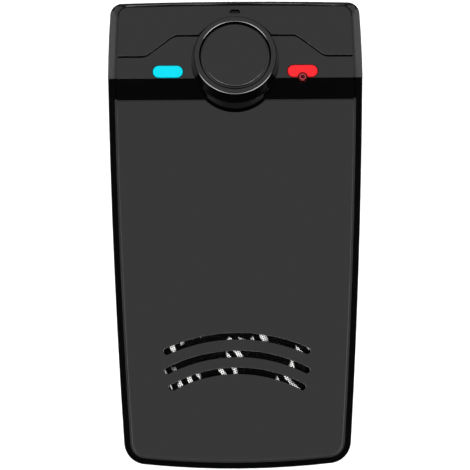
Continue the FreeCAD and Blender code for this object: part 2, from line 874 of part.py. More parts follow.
def main_board():
    board = box(-main_board_half_width, main_board_half_width, main_board_low_y,
                main_board_high_y, main_board_z, main_board_top)
    board = board.makeFillet(1.5, upright_edges(board))
    for x, y in board_screw_points:
        for one in both_sides(rod(board_screw_radius + screw_hole_clearance, x, y, 0, reach)):
            board = board.cut(one)
    boss_x, boss_y = case_screw_points[1]
    for one in both_sides(rod(case_boss_radius + 0.3, boss_x, boss_y, 0, reach)):
        board = board.cut(one)
    return board


def inlet_block(growth, far_x):
    """The charging inlet's outside, grown all round, out to far_x."""
    half = inlet_width / 2 + growth
    near_x = side_x(inlet_y) - inlet_recess - inlet_depth
    return box(near_x, far_x, inlet_y - half, inlet_y + half,
               main_board_top - growth, main_board_top + inlet_height + growth)


def charging_inlet():
    mouth_x = side_x(inlet_y) - inlet_recess
    shell = inlet_block(0, mouth_x)
    near_x = mouth_x - inlet_depth
    half = inlet_width / 2 - inlet_wall
    hollow = box(near_x + inlet_wall, mouth_x + 1, inlet_y - half, inlet_y + half,
                 main_board_top + inlet_wall, main_board_top + inlet_height - inlet_wall)
    shell = shell.cut(hollow)
    middle_z = main_board_top + inlet_height / 2
    tongue = box(near_x + inlet_wall / 2, mouth_x - 0.8, inlet_y - 1.9, inlet_y + 1.9,
                 middle_z - 0.3, middle_z + 0.3)
    return shell.fuse(tongue).removeSplitter()


def radio_shield():
    low_y = ridge_y - shield_below_ridge
    high_y = ridge_y + shield_above_ridge
    top_z = main_board_top + shield_height
    can = box(shield_left_x, shield_right_x, low_y, high_y, main_board_top, top_z)
    can = can.makeFillet(shield_corner_radius, upright_edges(can))
    hollow = box(shield_left_x + shield_wall, shield_right_x - shield_wall, low_y + shield_wall,
                 high_y - shield_wall, main_board_top, top_z - shield_wall)
    return can.cut(hollow)


def board_chips():
    """Radio chip under the shield, sound amplifier, and charging controller."""
    chips = [
        ((shield_left_x + shield_right_x) / 2, ridge_y + 1.9, radio_chip_side / 2),
        (16, ridge_y + 0.7, amplifier_chip_side / 2),
        (board_edge_x, inlet_y + 9.8, charger_chip_side / 2),
    ]
    top_z = main_board_top + chip_height
    return [box(x - a, x + a, y - a, y + a, main_board_top, top_z) for x, y, a in chips]


def capacitors():
    cans = []
    low = main_board_low_y
    for x, y in ((-board_edge_x, low + 15), (-board_edge_x, low + 21), (board_edge_x, low + 10.4)):
        can = rod(capacitor_radius, x, y, main_board_top, main_board_top + capacitor_height)
        rim = [e for e in can.Edges if e.BoundBox.ZMin > main_board_top + capacitor_height / 2]
        cans.append(can.makeFillet(capacitor_rim_radius, rim))
    return cans


speaker_socket_y = main_board_low_y + 8.5
battery_socket_x = -battery_width / 2 - 2.6
battery_socket_y = battery_low_y + 26.3


def lead_sockets():
    sockets = []
    half_x = lead_socket_length / 2
    half_y = lead_socket_width / 2
    top_z = main_board_top + lead_socket_height
    for x, y in ((-board_edge_x, speaker_socket_y), (battery_socket_x, battery_socket_y)):
        sockets.append(box(x - half_x, x + half_x, y - half_y, y + half_y, main_board_top, top_z))
    return sockets


def ribbon_ends():
    """The cable's two sides, its lower end, and its height over the main board."""
    end_y = ridge_y + 10.2
    end_z = main_board_top + ribbon_socket_height / 2
    return ribbon_left_x, ribbon_left_x + ribbon_width, end_y, end_z


def ribbon_sockets():
    x0, x1, end_y, z = ribbon_ends()
    half_slot = ribbon_thickness / 2 + ribbon_slot_gap
    low_y = end_y - ribbon_socket_grip
    low = box(x0 - ribbon_socket_side, x1 + ribbon_socket_side, low_y,
              low_y + ribbon_socket_length, main_board_top, main_board_top + ribbon_socket_height)
    low = low.cut(box(x0 - ribbon_slot_gap, x1 + ribbon_slot_gap, 0, end_y, z - half_slot,
                      z + half_slot))
    high = box(x0 - ribbon_socket_side, x1 + ribbon_socket_side, ribbon_socket_up,
               ribbon_socket_up + ribbon_socket_length, key_board_under - ribbon_socket_height,
               key_board_under)
    middle_w = key_board_under - ribbon_socket_height / 2
    high = high.cut(box(x0 - ribbon_slot_gap, x1 + ribbon_slot_gap, 0,
                        ribbon_socket_up + ribbon_socket_grip, middle_w - half_slot,
                        middle_w + half_slot))
    return [low, on_head(high)]


def ribbon_cable():
    """A flat flexible cable that turns back on itself between the two boards."""
    x0, x1, end_y, z = ribbon_ends()
    turn_y = ridge_y - 0.2
    start_w = (turn_y - ridge_y) * math.sin(tilt) + (z - ridge_z) * math.cos(tilt)
    end_w = key_board_under - ribbon_socket_height / 2
    bend = (end_w - start_w) / (1 + math.cos(tilt))
    centre = V(x0, turn_y, z + bend)
    out = V(0, math.sin(tilt), math.cos(tilt))
    along = V(0, math.cos(tilt), -math.sin(tilt))
    turn_end = centre + out * bend
    half_way = centre - along * bend
    start = V(x0, end_y, z)
    finish_v = ribbon_socket_up + ribbon_socket_grip
    turn_end_v = (turn_end.y - ridge_y) * math.cos(tilt) - (turn_end.z - ridge_z) * math.sin(tilt)
    finish = turn_end + along * (finish_v - turn_end_v)
    edges = [
        Part.makeLine(start, V(x0, turn_y, z)),
        Part.Arc(V(x0, turn_y, z), half_way, turn_end).toShape(),
        Part.makeLine(turn_end, finish),
    ]
    half = V(0, 0, ribbon_thickness / 2)
    across = V(ribbon_width, 0, 0)
    corners = [start - half, start + across - half, start + across + half, start + half,
               start - half]
    return Part.Wire(edges).makePipeShell([Part.makePolygon(corners)], True, False)


# ---- battery ------------------------------------------------------------------------

def battery_z():
    return main_board_top + battery_pad_thickness


def battery():
    cell = box(-battery_width / 2, battery_width / 2, battery_low_y,
               battery_low_y + battery_length, battery_z(), battery_z() + battery_height)
    return cell.makeFillet(1.4, [e for e in cell.Edges if abs(e.tangentAt(e.FirstParameter).y) > 0.9])


def battery_pad():
    margin = 4.0
    return box(-battery_width / 2 + margin, battery_width / 2 - margin, battery_low_y + margin,
               battery_low_y + battery_length - margin, main_board_top, battery_z())


# ---- loudspeaker --------------------------------------------------------------------

def speaker_mesh():
    top = panel_z - panel_thickness
    return rod(mesh_radius, 0, speaker_y, top - mesh_thickness, top)


def speaker_gasket():
    inner = sound_opening_radius + 0.1
    return tube(speaker_radius, inner, 0, speaker_y, speaker_face_z, deck_z)


def speaker_basket():
    flange_under = speaker_face_z - speaker_flange_thickness
    flange = tube(speaker_radius, speaker_flange_inner, 0, speaker_y, flange_under, speaker_face_z)
    top_outer = speaker_flange_inner + 1.2
    outside = frustum(basket_foot_radius, top_outer, 0, speaker_y, basket_floor_z, flange_under)
    inside = frustum(basket_foot_radius - basket_wall, top_outer - basket_wall, 0, speaker_y,
                     basket_floor_z, flange_under)
    basket = flange.fuse(outside.cut(inside))
    foot = tube(basket_foot_radius, gap_radius + 1.5, 0, speaker_y, top_plate_z(),
                basket_floor_z + 0.3)
    basket = basket.fuse(foot)
    for quarter in range(4):
        window = box(-3.2, 3.2, basket_foot_radius + 0.8, top_outer - 0.6,
                     basket_floor_z - 2, flange_under - 0.5)
        window.rotate(V(0, 0, 0), Z_AXIS, 90 * quarter)
        window.translate(V(0, speaker_y, 0))
        basket = basket.cut(window)
    tab = box(-5, 5, speaker_y + speaker_radius - 0.6, speaker_y + speaker_radius + 1.6,
              flange_under, flange_under + 0.8)
    return basket.fuse(tab).removeSplitter()


def top_plate_z():
    return basket_floor_z - basket_foot_thickness


def speaker_top_plate():
    top = top_plate_z()
    return tube(magnet_radius - 0.5, gap_radius, 0, speaker_y, top - top_plate_height, top)


def speaker_magnet():
    top = top_plate_z() - top_plate_height
    return tube(magnet_radius, gap_radius + 0.8, 0, speaker_y, top - magnet_height, top)


def speaker_yoke():
    top = top_plate_z() - top_plate_height - magnet_height
    disc = rod(magnet_radius - 0.5, 0, speaker_y, top - yoke_height, top)
    pole = rod(pole_radius, 0, speaker_y, top - 0.2, top_plate_z())
    return disc.fuse(pole).removeSplitter()


def cone_neck_z():
    return basket_floor_z + 1.2


def voice_coil():
    top = cone_neck_z() + 0.8
    return tube(coil_radius, coil_radius - coil_wall, 0, speaker_y, top - coil_length, top)


def speaker_cone():
    neck = coil_radius + 0.02
    low = cone_neck_z()
    high = speaker_face_z
    outside = frustum(neck + cone_wall, cone_edge_radius, 0, speaker_y, low, high)
    inside = frustum(neck, cone_edge_radius - cone_wall, 0, speaker_y, low, high)
    cone = outside.cut(inside)
    collar = tube(neck + cone_wall, neck, 0, speaker_y, low - 0.6, low + 0.4)
    return cone.fuse(collar).cut(rod(neck, 0, speaker_y, 0, low + 0.8)).removeSplitter()


def dust_cap():
    """A shallow dome that closes the top of the voice coil."""
    sphere_radius = (dust_cap_radius ** 2 + dust_cap_rise ** 2) / (2 * dust_cap_rise)
    foot_z = cone_neck_z() + 0.9
    centre = V(0, speaker_y, foot_z + dust_cap_rise - sphere_radius)
    outside = Part.makeSphere(sphere_radius, centre)
    inside = Part.makeSphere(sphere_radius - 0.3, centre)
    bound = rod(coil_radius, 0, speaker_y, foot_z, foot_z + 5)
    return outside.cut(inside).common(bound)


def speaker_surround():
    """A half roll of rubber between the cone's edge and the basket."""
    inner_land = cone_edge_radius - 0.6
    roll_inner = cone_edge_radius + 0.1
    roll_outer = speaker_flange_inner + 0.1
    middle = (roll_inner + roll_outer) / 2
    roll_radius = (roll_outer - roll_inner) / 2
    centre = V(0, speaker_y, speaker_face_z)
    outer = Part.makeTorus(middle, roll_radius + surround_wall, centre, Z_AXIS)
    inner = Part.makeTorus(middle, roll_radius, centre, Z_AXIS)
    upper = tube(speaker_radius, 1, 0, speaker_y, speaker_face_z, speaker_face_z + 5)
    roll = outer.cut(inner).common(upper)
    lands = [
        tube(roll_inner, inner_land, 0, speaker_y, speaker_face_z,
             speaker_face_z + surround_wall),
        tube(roll_outer + 0.7, roll_outer, 0, speaker_y, speaker_face_z,
             speaker_face_z + surround_wall),
    ]
    return joined([roll] + lands)


def speaker_leads():
    """Two insulated wires from the loudspeaker's tab to their socket on the main board."""
    leads = []
    tab_z = speaker_face_z - speaker_flange_thickness + 0.8
    edge_y = speaker_y + speaker_radius
    for step in (0, 1):
        tab_x = -2.2 - 1.6 * step
        end_x = -board_edge_x - 0.6 + 1.2 * step
        socket_z = main_board_top + lead_socket_entry
        points = [
            (tab_x, edge_y + 0.9, tab_z),
            (tab_x, edge_y + 0.9, tab_z + 1.2),
            (tab_x - 10.8, edge_y - 0.2, tab_z + 1.2),
            (end_x, edge_y + 2.4, socket_z + 1.6),
            (end_x, speaker_socket_y - 5.1, socket_z),
            (end_x, speaker_socket_y - lead_socket_width / 2, socket_z),
        ]
        leads.append(wire_rod(rounded_path(points, 0.7), lead_radius))
    return leads


def battery_leads():
    """Two insulated wires from the end of the cell to their socket on the main board."""
    leads = []
    end_y = battery_low_y + battery_length
    for step in (0, 1):
        z = battery_z() + 3.0
        y = end_y + 1.3 + 1.3 * step
        x = battery_socket_x - 0.6 + 1.2 * step
        points = [
            (-12.0 + 2.4 * step, end_y, z),
            (-12.0 + 2.4 * step, y, z),
            (x, y, z),
            (x, battery_socket_y + 5.2, main_board_top + lead_socket_entry),
            (x, battery_socket_y + lead_socket_width / 2, main_board_top + lead_socket_entry),
        ]
        leads.append(wire_rod(rounded_path(points, 0.6), lead_radius))
    return leads


# ---- lights -------------------------------------------------------------------------

def key_lights():
    """One small light beside each call key's switch."""
    lights = []
    for side in (-1, 1):
        x = side * (key_x + 3.6)
        lights.append(on_head(box(x - 0.8, x + 0.8, key_v - 0.4, key_v + 0.4, key_board_w,
                                  key_board_w + 0.6)))
    return lights


# ---- screws -------------------------------------------------------------------------

def screw(shank_radius, head_radius, head_height, length, recess):
    """A pan-head screw pointing down from z = 0 under its head, with a cross recess."""
    body = rod(shank_radius, 0, 0, -length, 0.1)
    head_part = rod(head_radius, 0, 0, 0, head_height)
    rim = [e for e in head_part.Edges if e.BoundBox.ZMin > head_height - 0.01]
    head_part = head_part.makeFillet(head_height * 0.4, rim)
    whole = body.fuse(head_part)
    for turn in (0, 90):
        arm = box(-recess, recess, -recess / 4, recess / 4, head_height / 2, head_height + 1)
        arm.rotate(V(0, 0, 0), Z_AXIS, turn)
        whole = whole.cut(arm)
    return whole


def case_screws():
    head_seat = back_height + case_screw_head_height + 0.3
    length = panel_z - deck_depth - 1.2 - head_seat
    screws = []
    for x, y in case_screw_points:
        one = screw(case_screw_radius, case_screw_head_radius, case_screw_head_height, length, 1.1)
        one.rotate(V(0, 0, 0), X_AXIS, 180)
        one.translate(V(x, y, head_seat))
        screws += both_sides(one)
    return screws


def main_board_screws():
    screws = []
    length = main_board_top - floor_z + 0.4
    for x, y in board_screw_points:
        one = screw(board_screw_radius, board_screw_head_radius, board_screw_head_height,
                    length, 0.9)
        one.translate(V(x, y, main_board_top))
        screws += both_sides(one)
    return screws


def key_board_screws():
    length = key_board_thickness + 3.6
    one = screw(board_screw_radius, board_screw_head_radius, board_screw_head_height, length, 0.9)
    one.rotate(V(0, 0, 0), X_AXIS, 180)
    one.translate(V(key_board_screw_x, key_board_screw_v, key_board_under))
    return [on_head(each) for each in both_sides(one)]


# ---- visor clip ---------------------------------------------------------------------

def visor_clip():
    """One bent wire: stubs in the lugs, two legs along the back, and a bar across the end."""
    pivot_z = clip_lug_radius
    bar_z = grip_radius
    stub_x = clip_leg_x - clip_bend_radius - 0.2 - clip_lug_width - clip_stub_overhang
    kick_y = clip_end_y + clip_kick_length
    half = [
        (stub_x, clip_pivot_y, pivot_z),
        (clip_leg_x, clip_pivot_y, pivot_z),
        (clip_leg_x, kick_y, pivot_z),
    ]
    end = (clip_leg_x, clip_end_y, bar_z)
    right = rounded_path([half[0], half[1], (clip_leg_x, 0, pivot_z)], clip_bend_radius)
    left = rounded_path([(-clip_leg_x, 0, pivot_z), (-clip_leg_x, clip_pivot_y, pivot_z),
                         (-stub_x, clip_pivot_y, pivot_z)], clip_bend_radius)
    bow = rounded_path([(clip_leg_x, 0, pivot_z), half[2], end, (-end[0], end[1], end[2]),
                        (-half[2][0], half[2][1], half[2][2]), (-clip_leg_x, 0, pivot_z)],
                       clip_end_corner_radius)
    path = Part.Wire(right.Edges + bow.Edges + left.Edges)
    return wire_rod(path, clip_wire_radius)


def clip_grip():
    """A soft sleeve on the clip's end bar."""
    start = V(-grip_length / 2, clip_end_y, grip_radius)
    sleeve = Part.makeCylinder(grip_radius, grip_length, start, X_AXIS)
    rims = [e for e in sleeve.Edges if e.Length > 2 * grip_radius * 3 and len(e.Vertexes) == 1]
    sleeve = sleeve.makeFillet(0.3, rims)
    return sleeve.cut(Part.makeCylinder(clip_wire_radius + 0.01, grip_length + 2,
                                        start - V(1, 0, 0), X_AXIS))


# ---- writing the files --------------------------------------------------------------

def write(name, shapes):
    if not isinstance(shapes, list):
        shapes = [shapes]
    solids = [solid for shape in shapes for solid in shape.Solids]
    whole = solids[0] if len(solids) == 1 else Part.makeCompound(solids)
    whole.exportStep(f"parts/{name}.step")
    valid = all(solid.isValid() for solid in solids)
    print(f"{name}: {len(solids)} solid(s), {whole.Volume:.2f} mm3, valid {valid}")


def build():
    os.makedirs("parts", exist_ok=True)
    field = panel_field()
    blank = panel_blank(panel_edge_gap)
    write("back_cover", back_cover())
    write("front_housing", front_housing(field))
    write("top_cap", top_cap(blank))
    write("control_panel", control_panel(blank))
    write("speaker_panel", speaker_panel(blank))
    write("knob_rim", knob_rim())
    write("knob_disc", knob_disc())
    write("encoder_body", encoder_body())
    write("encoder_shaft", encoder_shaft())
    write("encoder_plunger", encoder_plunger())
    write("power_lens", power_lens())
    for side, colour in ((-1, "blue"), (1, "red")):
        write(f"{colour}_key", key_cap(side))
        write(f"{colour}_key_switch", switch_body(side))
        write(f"{colour}_switch_plunger", switch_plunger(side))
    write("mic_capsule", mic_capsule())
    write("mic_boot", mic_boot())
    write("key_board", key_board())
    write("key_lights", key_lights())
    write("main_board", main_board())
    write("charging_inlet", charging_inlet())
    write("radio_shield", radio_shield())
    write("board_chips", board_chips())
    write("capacitors", capacitors())
    write("lead_sockets", lead_sockets())
    write("ribbon_sockets", ribbon_sockets())
    write("ribbon_cable", ribbon_cable())
    write("battery", battery())
    write("battery_pad", battery_pad())
    write("battery_leads", battery_leads())
    write("speaker_mesh", speaker_mesh())
    write("speaker_gasket", speaker_gasket())
    write("speaker_basket", speaker_basket())
    write("speaker_top_plate", speaker_top_plate())
    write("speaker_magnet", speaker_magnet())
    write("speaker_yoke", speaker_yoke())
    write("voice_coil", voice_coil())
    write("speaker_cone", speaker_cone())
    write("dust_cap", dust_cap())
    write("speaker_surround", speaker_surround())
    write("speaker_leads", speaker_leads())
    write("case_screws", case_screws())
    write("main_board_screws", main_board_screws())
    write("key_board_screws", key_board_screws())
    write("visor_clip", visor_clip())
    write("clip_grip", clip_grip())


build()
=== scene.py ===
import json
import math

import bmesh
import bpy
from mathutils import Matrix, Vector


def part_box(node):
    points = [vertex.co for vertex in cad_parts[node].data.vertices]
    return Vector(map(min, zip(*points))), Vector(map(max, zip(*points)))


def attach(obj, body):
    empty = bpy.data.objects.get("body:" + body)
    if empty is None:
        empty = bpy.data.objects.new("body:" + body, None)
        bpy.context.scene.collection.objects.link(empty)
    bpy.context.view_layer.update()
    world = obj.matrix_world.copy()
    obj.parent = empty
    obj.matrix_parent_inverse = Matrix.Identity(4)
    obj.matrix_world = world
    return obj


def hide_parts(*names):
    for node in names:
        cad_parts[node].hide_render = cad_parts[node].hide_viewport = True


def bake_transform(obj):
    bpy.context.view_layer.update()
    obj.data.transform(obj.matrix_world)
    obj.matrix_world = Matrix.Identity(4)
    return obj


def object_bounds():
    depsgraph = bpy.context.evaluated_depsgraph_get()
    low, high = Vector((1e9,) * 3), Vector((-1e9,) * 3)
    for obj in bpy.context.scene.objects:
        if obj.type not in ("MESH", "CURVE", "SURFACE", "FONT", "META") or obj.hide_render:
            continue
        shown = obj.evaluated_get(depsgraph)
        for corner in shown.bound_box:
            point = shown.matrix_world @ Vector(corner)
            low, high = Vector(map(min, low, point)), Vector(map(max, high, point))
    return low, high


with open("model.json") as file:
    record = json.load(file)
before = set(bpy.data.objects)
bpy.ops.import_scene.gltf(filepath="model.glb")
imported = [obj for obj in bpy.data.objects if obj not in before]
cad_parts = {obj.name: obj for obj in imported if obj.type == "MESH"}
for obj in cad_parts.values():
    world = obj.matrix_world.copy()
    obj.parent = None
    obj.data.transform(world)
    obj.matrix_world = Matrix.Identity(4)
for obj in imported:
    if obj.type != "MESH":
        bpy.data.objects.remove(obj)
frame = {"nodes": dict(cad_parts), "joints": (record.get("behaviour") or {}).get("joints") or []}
cad_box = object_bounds()


# ---- back cover ----------------------------------------------------------------------
# The rear half of the case, one injection moulding in black ABS with a fine spark-eroded
# skin. It carries the boards and the clip's lugs, and four screws hold it to the front.

MM = 0.001


def linear(hex_colour):
    """An sRGB hex colour as the linear values that a shader takes."""
    parts = [int(hex_colour[i:i + 2], 16) / 255 for i in (1, 3, 5)]
    return [p / 12.92 if p <= 0.04045 else ((p + 0.055) / 1.055) ** 2.4 for p in parts] + [1.0]


def grain(size_mm):
    """The scale of a pattern whose grains are that many millimetres across."""
    return 1 / (size_mm * MM)


def add_node(tree, kind, inputs, **settings):
    """One node, with its settings, and its inputs given as values or as other nodes' outputs."""
    made = tree.nodes.new(kind)
    for name, value in settings.items():
        setattr(made, name, value)
    for socket, value in inputs.items():
        if isinstance(value, bpy.types.NodeSocket):
            tree.links.new(value, made.inputs[socket])
        else:
            made.inputs[socket].default_value = value
    return made


def start_material(name, inputs):
    """A material of that name, its tree, its surface shader and its object coordinates."""
    made = bpy.data.materials.new(name)
    made.use_nodes = True
    tree = made.node_tree
    surface = tree.nodes["Principled BSDF"]
    for socket, value in inputs.items():
        surface.inputs[socket].default_value = value
    place = add_node(tree, "ShaderNodeTexCoord", {}).outputs["Object"]
    return made, tree, surface, place


def joined_copy(node):
    """A CAD node's own shape with its loose triangles joined and its flat faces made whole."""
    shape = bmesh.new()
    shape.from_mesh(frame["nodes"][node].data)
    bmesh.ops.remove_doubles(shape, verts=shape.verts, dist=0.001 * MM)
    bmesh.ops.dissolve_limit(shape, angle_limit=math.radians(0.2), verts=shape.verts,
                             edges=shape.edges)
    return shape


def round_edges(shape, radius, lowest=-1.0, highest=1.0, segments=3):
    """Rounds the sharp edges that lie between two heights."""
    sharp = []
    for edge in shape.edges:
        heights = [v.co.z for v in edge.verts]
        if edge.is_manifold and min(heights) > lowest and max(heights) < highest:
            if edge.calc_face_angle() > math.radians(28):
                sharp.append(edge)
    bmesh.ops.bevel(shape, geom=sharp, offset=radius, offset_type="OFFSET", segments=segments,
                    profile=0.5, affect="EDGES", clamp_overlap=True, material=-1)


def make_piece(shape, name, material, body, slot, *nodes):
    """Turns a shape into a smooth-shaded piece that rides on a body and stands for CAD nodes."""
    mesh = bpy.data.meshes.new(name)
    shape.to_mesh(mesh)
    shape.free()
    mesh.shade_smooth()
    mesh.materials.append(material)
    made = bpy.data.objects.new(name, mesh)
    bpy.context.scene.collection.objects.link(made)
    even = made.modifiers.new("even shading", "WEIGHTED_NORMAL")
    even.keep_sharp = True
    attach(made, body)
    if nodes:
        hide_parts(*nodes)
    return made


# Spark-eroded ABS: a matt black with a fine even grain that breaks the light up.
eroded_abs, tree, surface, place = start_material(
    "spark-eroded black ABS", {"Roughness": 0.5, "IOR": 1.53})
erosion = add_node(tree, "ShaderNodeTexNoise",
                   {"Vector": place, "Scale": grain(0.3), "Detail": 3.0, "Roughness": 0.6})
shade = add_node(tree, "ShaderNodeValToRGB", {"Fac": erosion.outputs["Fac"]})
shade.color_ramp.elements[0].color = linear("#141415")
shade.color_ramp.elements[1].color = linear("#222224")
relief = add_node(tree, "ShaderNodeBump",
                  {"Height": erosion.outputs["Fac"], "Strength": 0.6, "Distance": 0.03 * MM})
tree.links.new(shade.outputs["Color"], surface.inputs["Base Color"])
tree.links.new(relief.outputs["Normal"], surface.inputs["Normal"])

rear = joined_copy("back_cover")
round_edges(rear, 0.15 * MM, highest=6 * MM)
make_piece(rear, "rear_shell", eroded_abs, "housing", "back_plastic", "back_cover")


# ---- circuit boards ------------------------------------------------------------------
# Two glass-epoxy boards, green solder mask over copper. The large one is screwed to the
# back cover and the small one hangs under the head, with the keys' switches on it.

solder_mask, tree, surface, place = start_material(
    "green solder mask on glass epoxy", {"Roughness": 0.3, "IOR": 1.5})
tracks = add_node(tree, "ShaderNodeTexBrick",
                  {"Vector": place, "Scale": grain(4.0), "Color1": linear("#0f5a2c"),
                   "Color2": linear("#137036"), "Mortar": linear("#1f8a4a"),
                   "Mortar Size": 0.04, "Mortar Smooth": 0.2})
raised = add_node(tree, "ShaderNodeBump",
                  {"Height": tracks.outputs["Fac"], "Strength": 0.5, "Distance": 0.035 * MM})
tree.links.new(tracks.outputs["Color"], surface.inputs["Base Color"])
tree.links.new(raised.outputs["Normal"], surface.inputs["Normal"])


def finish_node(node, material):
    """Gives a CAD node its material."""
    mesh = frame["nodes"][node].data
    mesh.materials.clear()
    mesh.materials.append(material)


for node in ("key_board", "main_board"):
    finish_node(node, solder_mask)


# ---- what is soldered to the boards --------------------------------------------------
# Chips in moulded epoxy, a pressed tin-plated can over the radio, capacitors in drawn
# aluminium cans, nylon lead sockets, and two tact switches with a light beside each.

epoxy, tree, surface, place = start_material(
    "moulded black epoxy", {"Roughness": 0.55, "IOR": 1.55})
speckle = add_node(tree, "ShaderNodeTexNoise",
                   {"Vector": place, "Scale": grain(0.15), "Detail": 2.0})
shade = add_node(tree, "ShaderNodeValToRGB", {"Fac": speckle.outputs["Fac"]})
shade.color_ramp.elements[0].color = linear("#121213")
shade.color_ramp.elements[1].color = linear("#29292b")
tree.links.new(shade.outputs["Color"], surface.inputs["Base Color"])
finish_node("board_chips", epoxy)

tinplate, tree, surface, place = start_material(
    "tin-plated steel", {"Metallic": 1.0, "Base Color": linear("#c9c8c4")})
rolled = add_node(tree, "ShaderNodeMapping", {"Vector": place, "Scale": (1.0, 14.0, 14.0)})
lines = add_node(tree, "ShaderNodeTexNoise",
                 {"Vector": rolled.outputs["Vector"], "Scale": grain(2.0), "Detail": 3.0})
gloss = add_node(tree, "ShaderNodeMapRange",
                 {"Value": lines.outputs["Fac"], "To Min": 0.2, "To Max": 0.42})
tree.links.new(gloss.outputs["Result"], surface.inputs["Roughness"])
for node in ("radio_shield", "capacitors", "charging_inlet", "blue_key_switch",
             "red_key_switch", "mic_capsule"):
    finish_node(node, tinplate)

nylon, tree, surface, place = start_material(
    "natural nylon", {"Roughness": 0.45, "IOR": 1.53, "Subsurface Weight": 0.2,
                      "Subsurface Scale": 0.6 * MM})
cloud = add_node(tree, "ShaderNodeTexNoise", {"Vector": place, "Scale": grain(1.2), "Detail": 2.0})
shade = add_node(tree, "ShaderNodeValToRGB", {"Fac": cloud.outputs["Fac"]})
shade.color_ramp.elements[0].color = linear("#d9d4c4")
shade.color_ramp.elements[1].color = linear("#ece8dc")
tree.links.new(shade.outputs["Color"], surface.inputs["Base Color"])
for node in ("lead_sockets", "ribbon_sockets"):
    finish_node(node, nylon)

lamp_epoxy, tree, surface, place = start_material(
    "clear lamp epoxy over yellow phosphor", {"Roughness": 0.15, "IOR": 1.5, "Coat Weight": 0.6})
phosphor = add_node(tree, "ShaderNodeTexNoise",
                    {"Vector": place, "Scale": grain(0.2), "Detail": 2.0})
shade = add_node(tree, "ShaderNodeValToRGB", {"Fac": phosphor.outputs["Fac"]})
shade.color_ramp.elements[0].color = linear("#e3d27a")
shade.color_ramp.elements[1].color = linear("#f6f0c8")
tree.links.new(shade.outputs["Color"], surface.inputs["Base Color"])
finish_node("key_lights", lamp_epoxy)

acetal, tree, surface, place = start_material(
    "black acetal", {"Roughness": 0.35, "IOR": 1.48})
sheen = add_node(tree, "ShaderNodeTexNoise", {"Vector": place, "Scale": grain(0.5), "Detail": 2.0})
shade = add_node(tree, "ShaderNodeValToRGB", {"Fac": sheen.outputs["Fac"]})
shade.color_ramp.elements[0].color = linear("#171718")
shade.color_ramp.elements[1].color = linear("#242426")
tree.links.new(shade.outputs["Color"], surface.inputs["Base Color"])
for node in ("encoder_body", "encoder_plunger", "encoder_shaft", "blue_switch_plunger",
             "red_switch_plunger"):
    finish_node(node, acetal)


# ---- cables --------------------------------------------------------------------------
# A flat polyester ribbon with printed copper lines between the two boards, and pairs of
# thin stranded leads in red PVC to the battery and to the loudspeaker.

ribbon_film, tree, surface, place = start_material(
    "polyester film over copper lines", {"Roughness": 0.25, "IOR": 1.57})
ruled = add_node(tree, "ShaderNodeTexWave",
                 {"Vector": place, "Scale": grain(1.0) / 6.3, "Distortion": 0.0},
                 wave_type="BANDS", bands_direction="X")
shade = add_node(tree, "ShaderNodeValToRGB", {"Fac": ruled.outputs["Fac"]})
shade.color_ramp.elements[0].color = linear("#b9a58a")
shade.color_ramp.elements[1].color = linear("#ece9e2")
tree.links.new(shade.outputs["Color"], surface.inputs["Base Color"])
finish_node("ribbon_cable", ribbon_film)

lead_pvc, tree, surface, place = start_material("red PVC lead", {"Roughness": 0.4, "IOR": 1.53})
waver = add_node(tree, "ShaderNodeTexNoise", {"Vector": place, "Scale": grain(0.8), "Detail": 2.0})
shade = add_node(tree, "ShaderNodeValToRGB", {"Fac": waver.outputs["Fac"]})
shade.color_ramp.elements[0].color = linear("#9c1512")
shade.color_ramp.elements[1].color = linear("#b8201a")
tree.links.new(shade.outputs["Color"], surface.inputs["Base Color"])
for node in ("battery_leads", "speaker_leads"):
    finish_node(node, lead_pvc)


# ---- battery -------------------------------------------------------------------------
# A flat lithium cell in a laminated aluminium pouch, creased a little where it was folded
# and sealed. It lies on a foam pad on the main board.

pouch, tree, surface, place = start_material(
    "laminated aluminium pouch", {"Metallic": 1.0, "Base Color": linear("#c4c5c8"),
                                  "Roughness": 0.32})
creases = add_node(tree, "ShaderNodeTexVoronoi", {"Vector": place, "Scale": grain(5.0)})
dented = add_node(tree, "ShaderNodeBump",
                  {"Height": creases.outputs["Distance"], "Strength": 0.4, "Distance": 0.2 * MM})
tree.links.new(dented.outputs["Normal"], surface.inputs["Normal"])
finish_node("battery", pouch)

foam, tree, surface, place = start_material(
    "black foamed rubber", {"Roughness": 0.95, "Base Color": linear("#1b1b1c")})
cells = add_node(tree, "ShaderNodeTexVoronoi", {"Vector": place, "Scale": grain(0.5)})
pitted = add_node(tree, "ShaderNodeBump",
                  {"Height": cells.outputs["Distance"], "Strength": 0.8, "Distance": 0.15 * MM})
tree.links.new(pitted.outputs["Normal"], surface.inputs["Normal"])
for node in ("battery_pad", "speaker_gasket"):
    finish_node(node, foam)


# ---- loudspeaker ---------------------------------------------------------------------
# A 40 mm driver: pressed zinc-plated basket, plate and yoke round a ferrite ring, a coated
# paper cone on a copper coil, and a rubber surround glued between cone and basket.

zinc, tree, surface, place = start_material("bright zinc-plated steel", {"Metallic": 1.0})
bloom = add_node(tree, "ShaderNodeTexNoise", {"Vector": place, "Scale": grain(1.5), "Detail": 4.0})
shade = add_node(tree, "ShaderNodeValToRGB", {"Fac": bloom.outputs["Fac"]})
shade.color_ramp.elements[0].color = linear("#8e9196")
shade.color_ramp.elements[1].color = linear("#b4b7bb")
gloss = add_node(tree, "ShaderNodeMapRange",
                 {"Value": bloom.outputs["Fac"], "To Min": 0.3, "To Max": 0.5})
tree.links.new(shade.outputs["Color"], surface.inputs["Base Color"])
tree.links.new(gloss.outputs["Result"], surface.inputs["Roughness"])
for node in ("speaker_basket", "speaker_top_plate", "speaker_yoke"):
    finish_node(node, zinc)

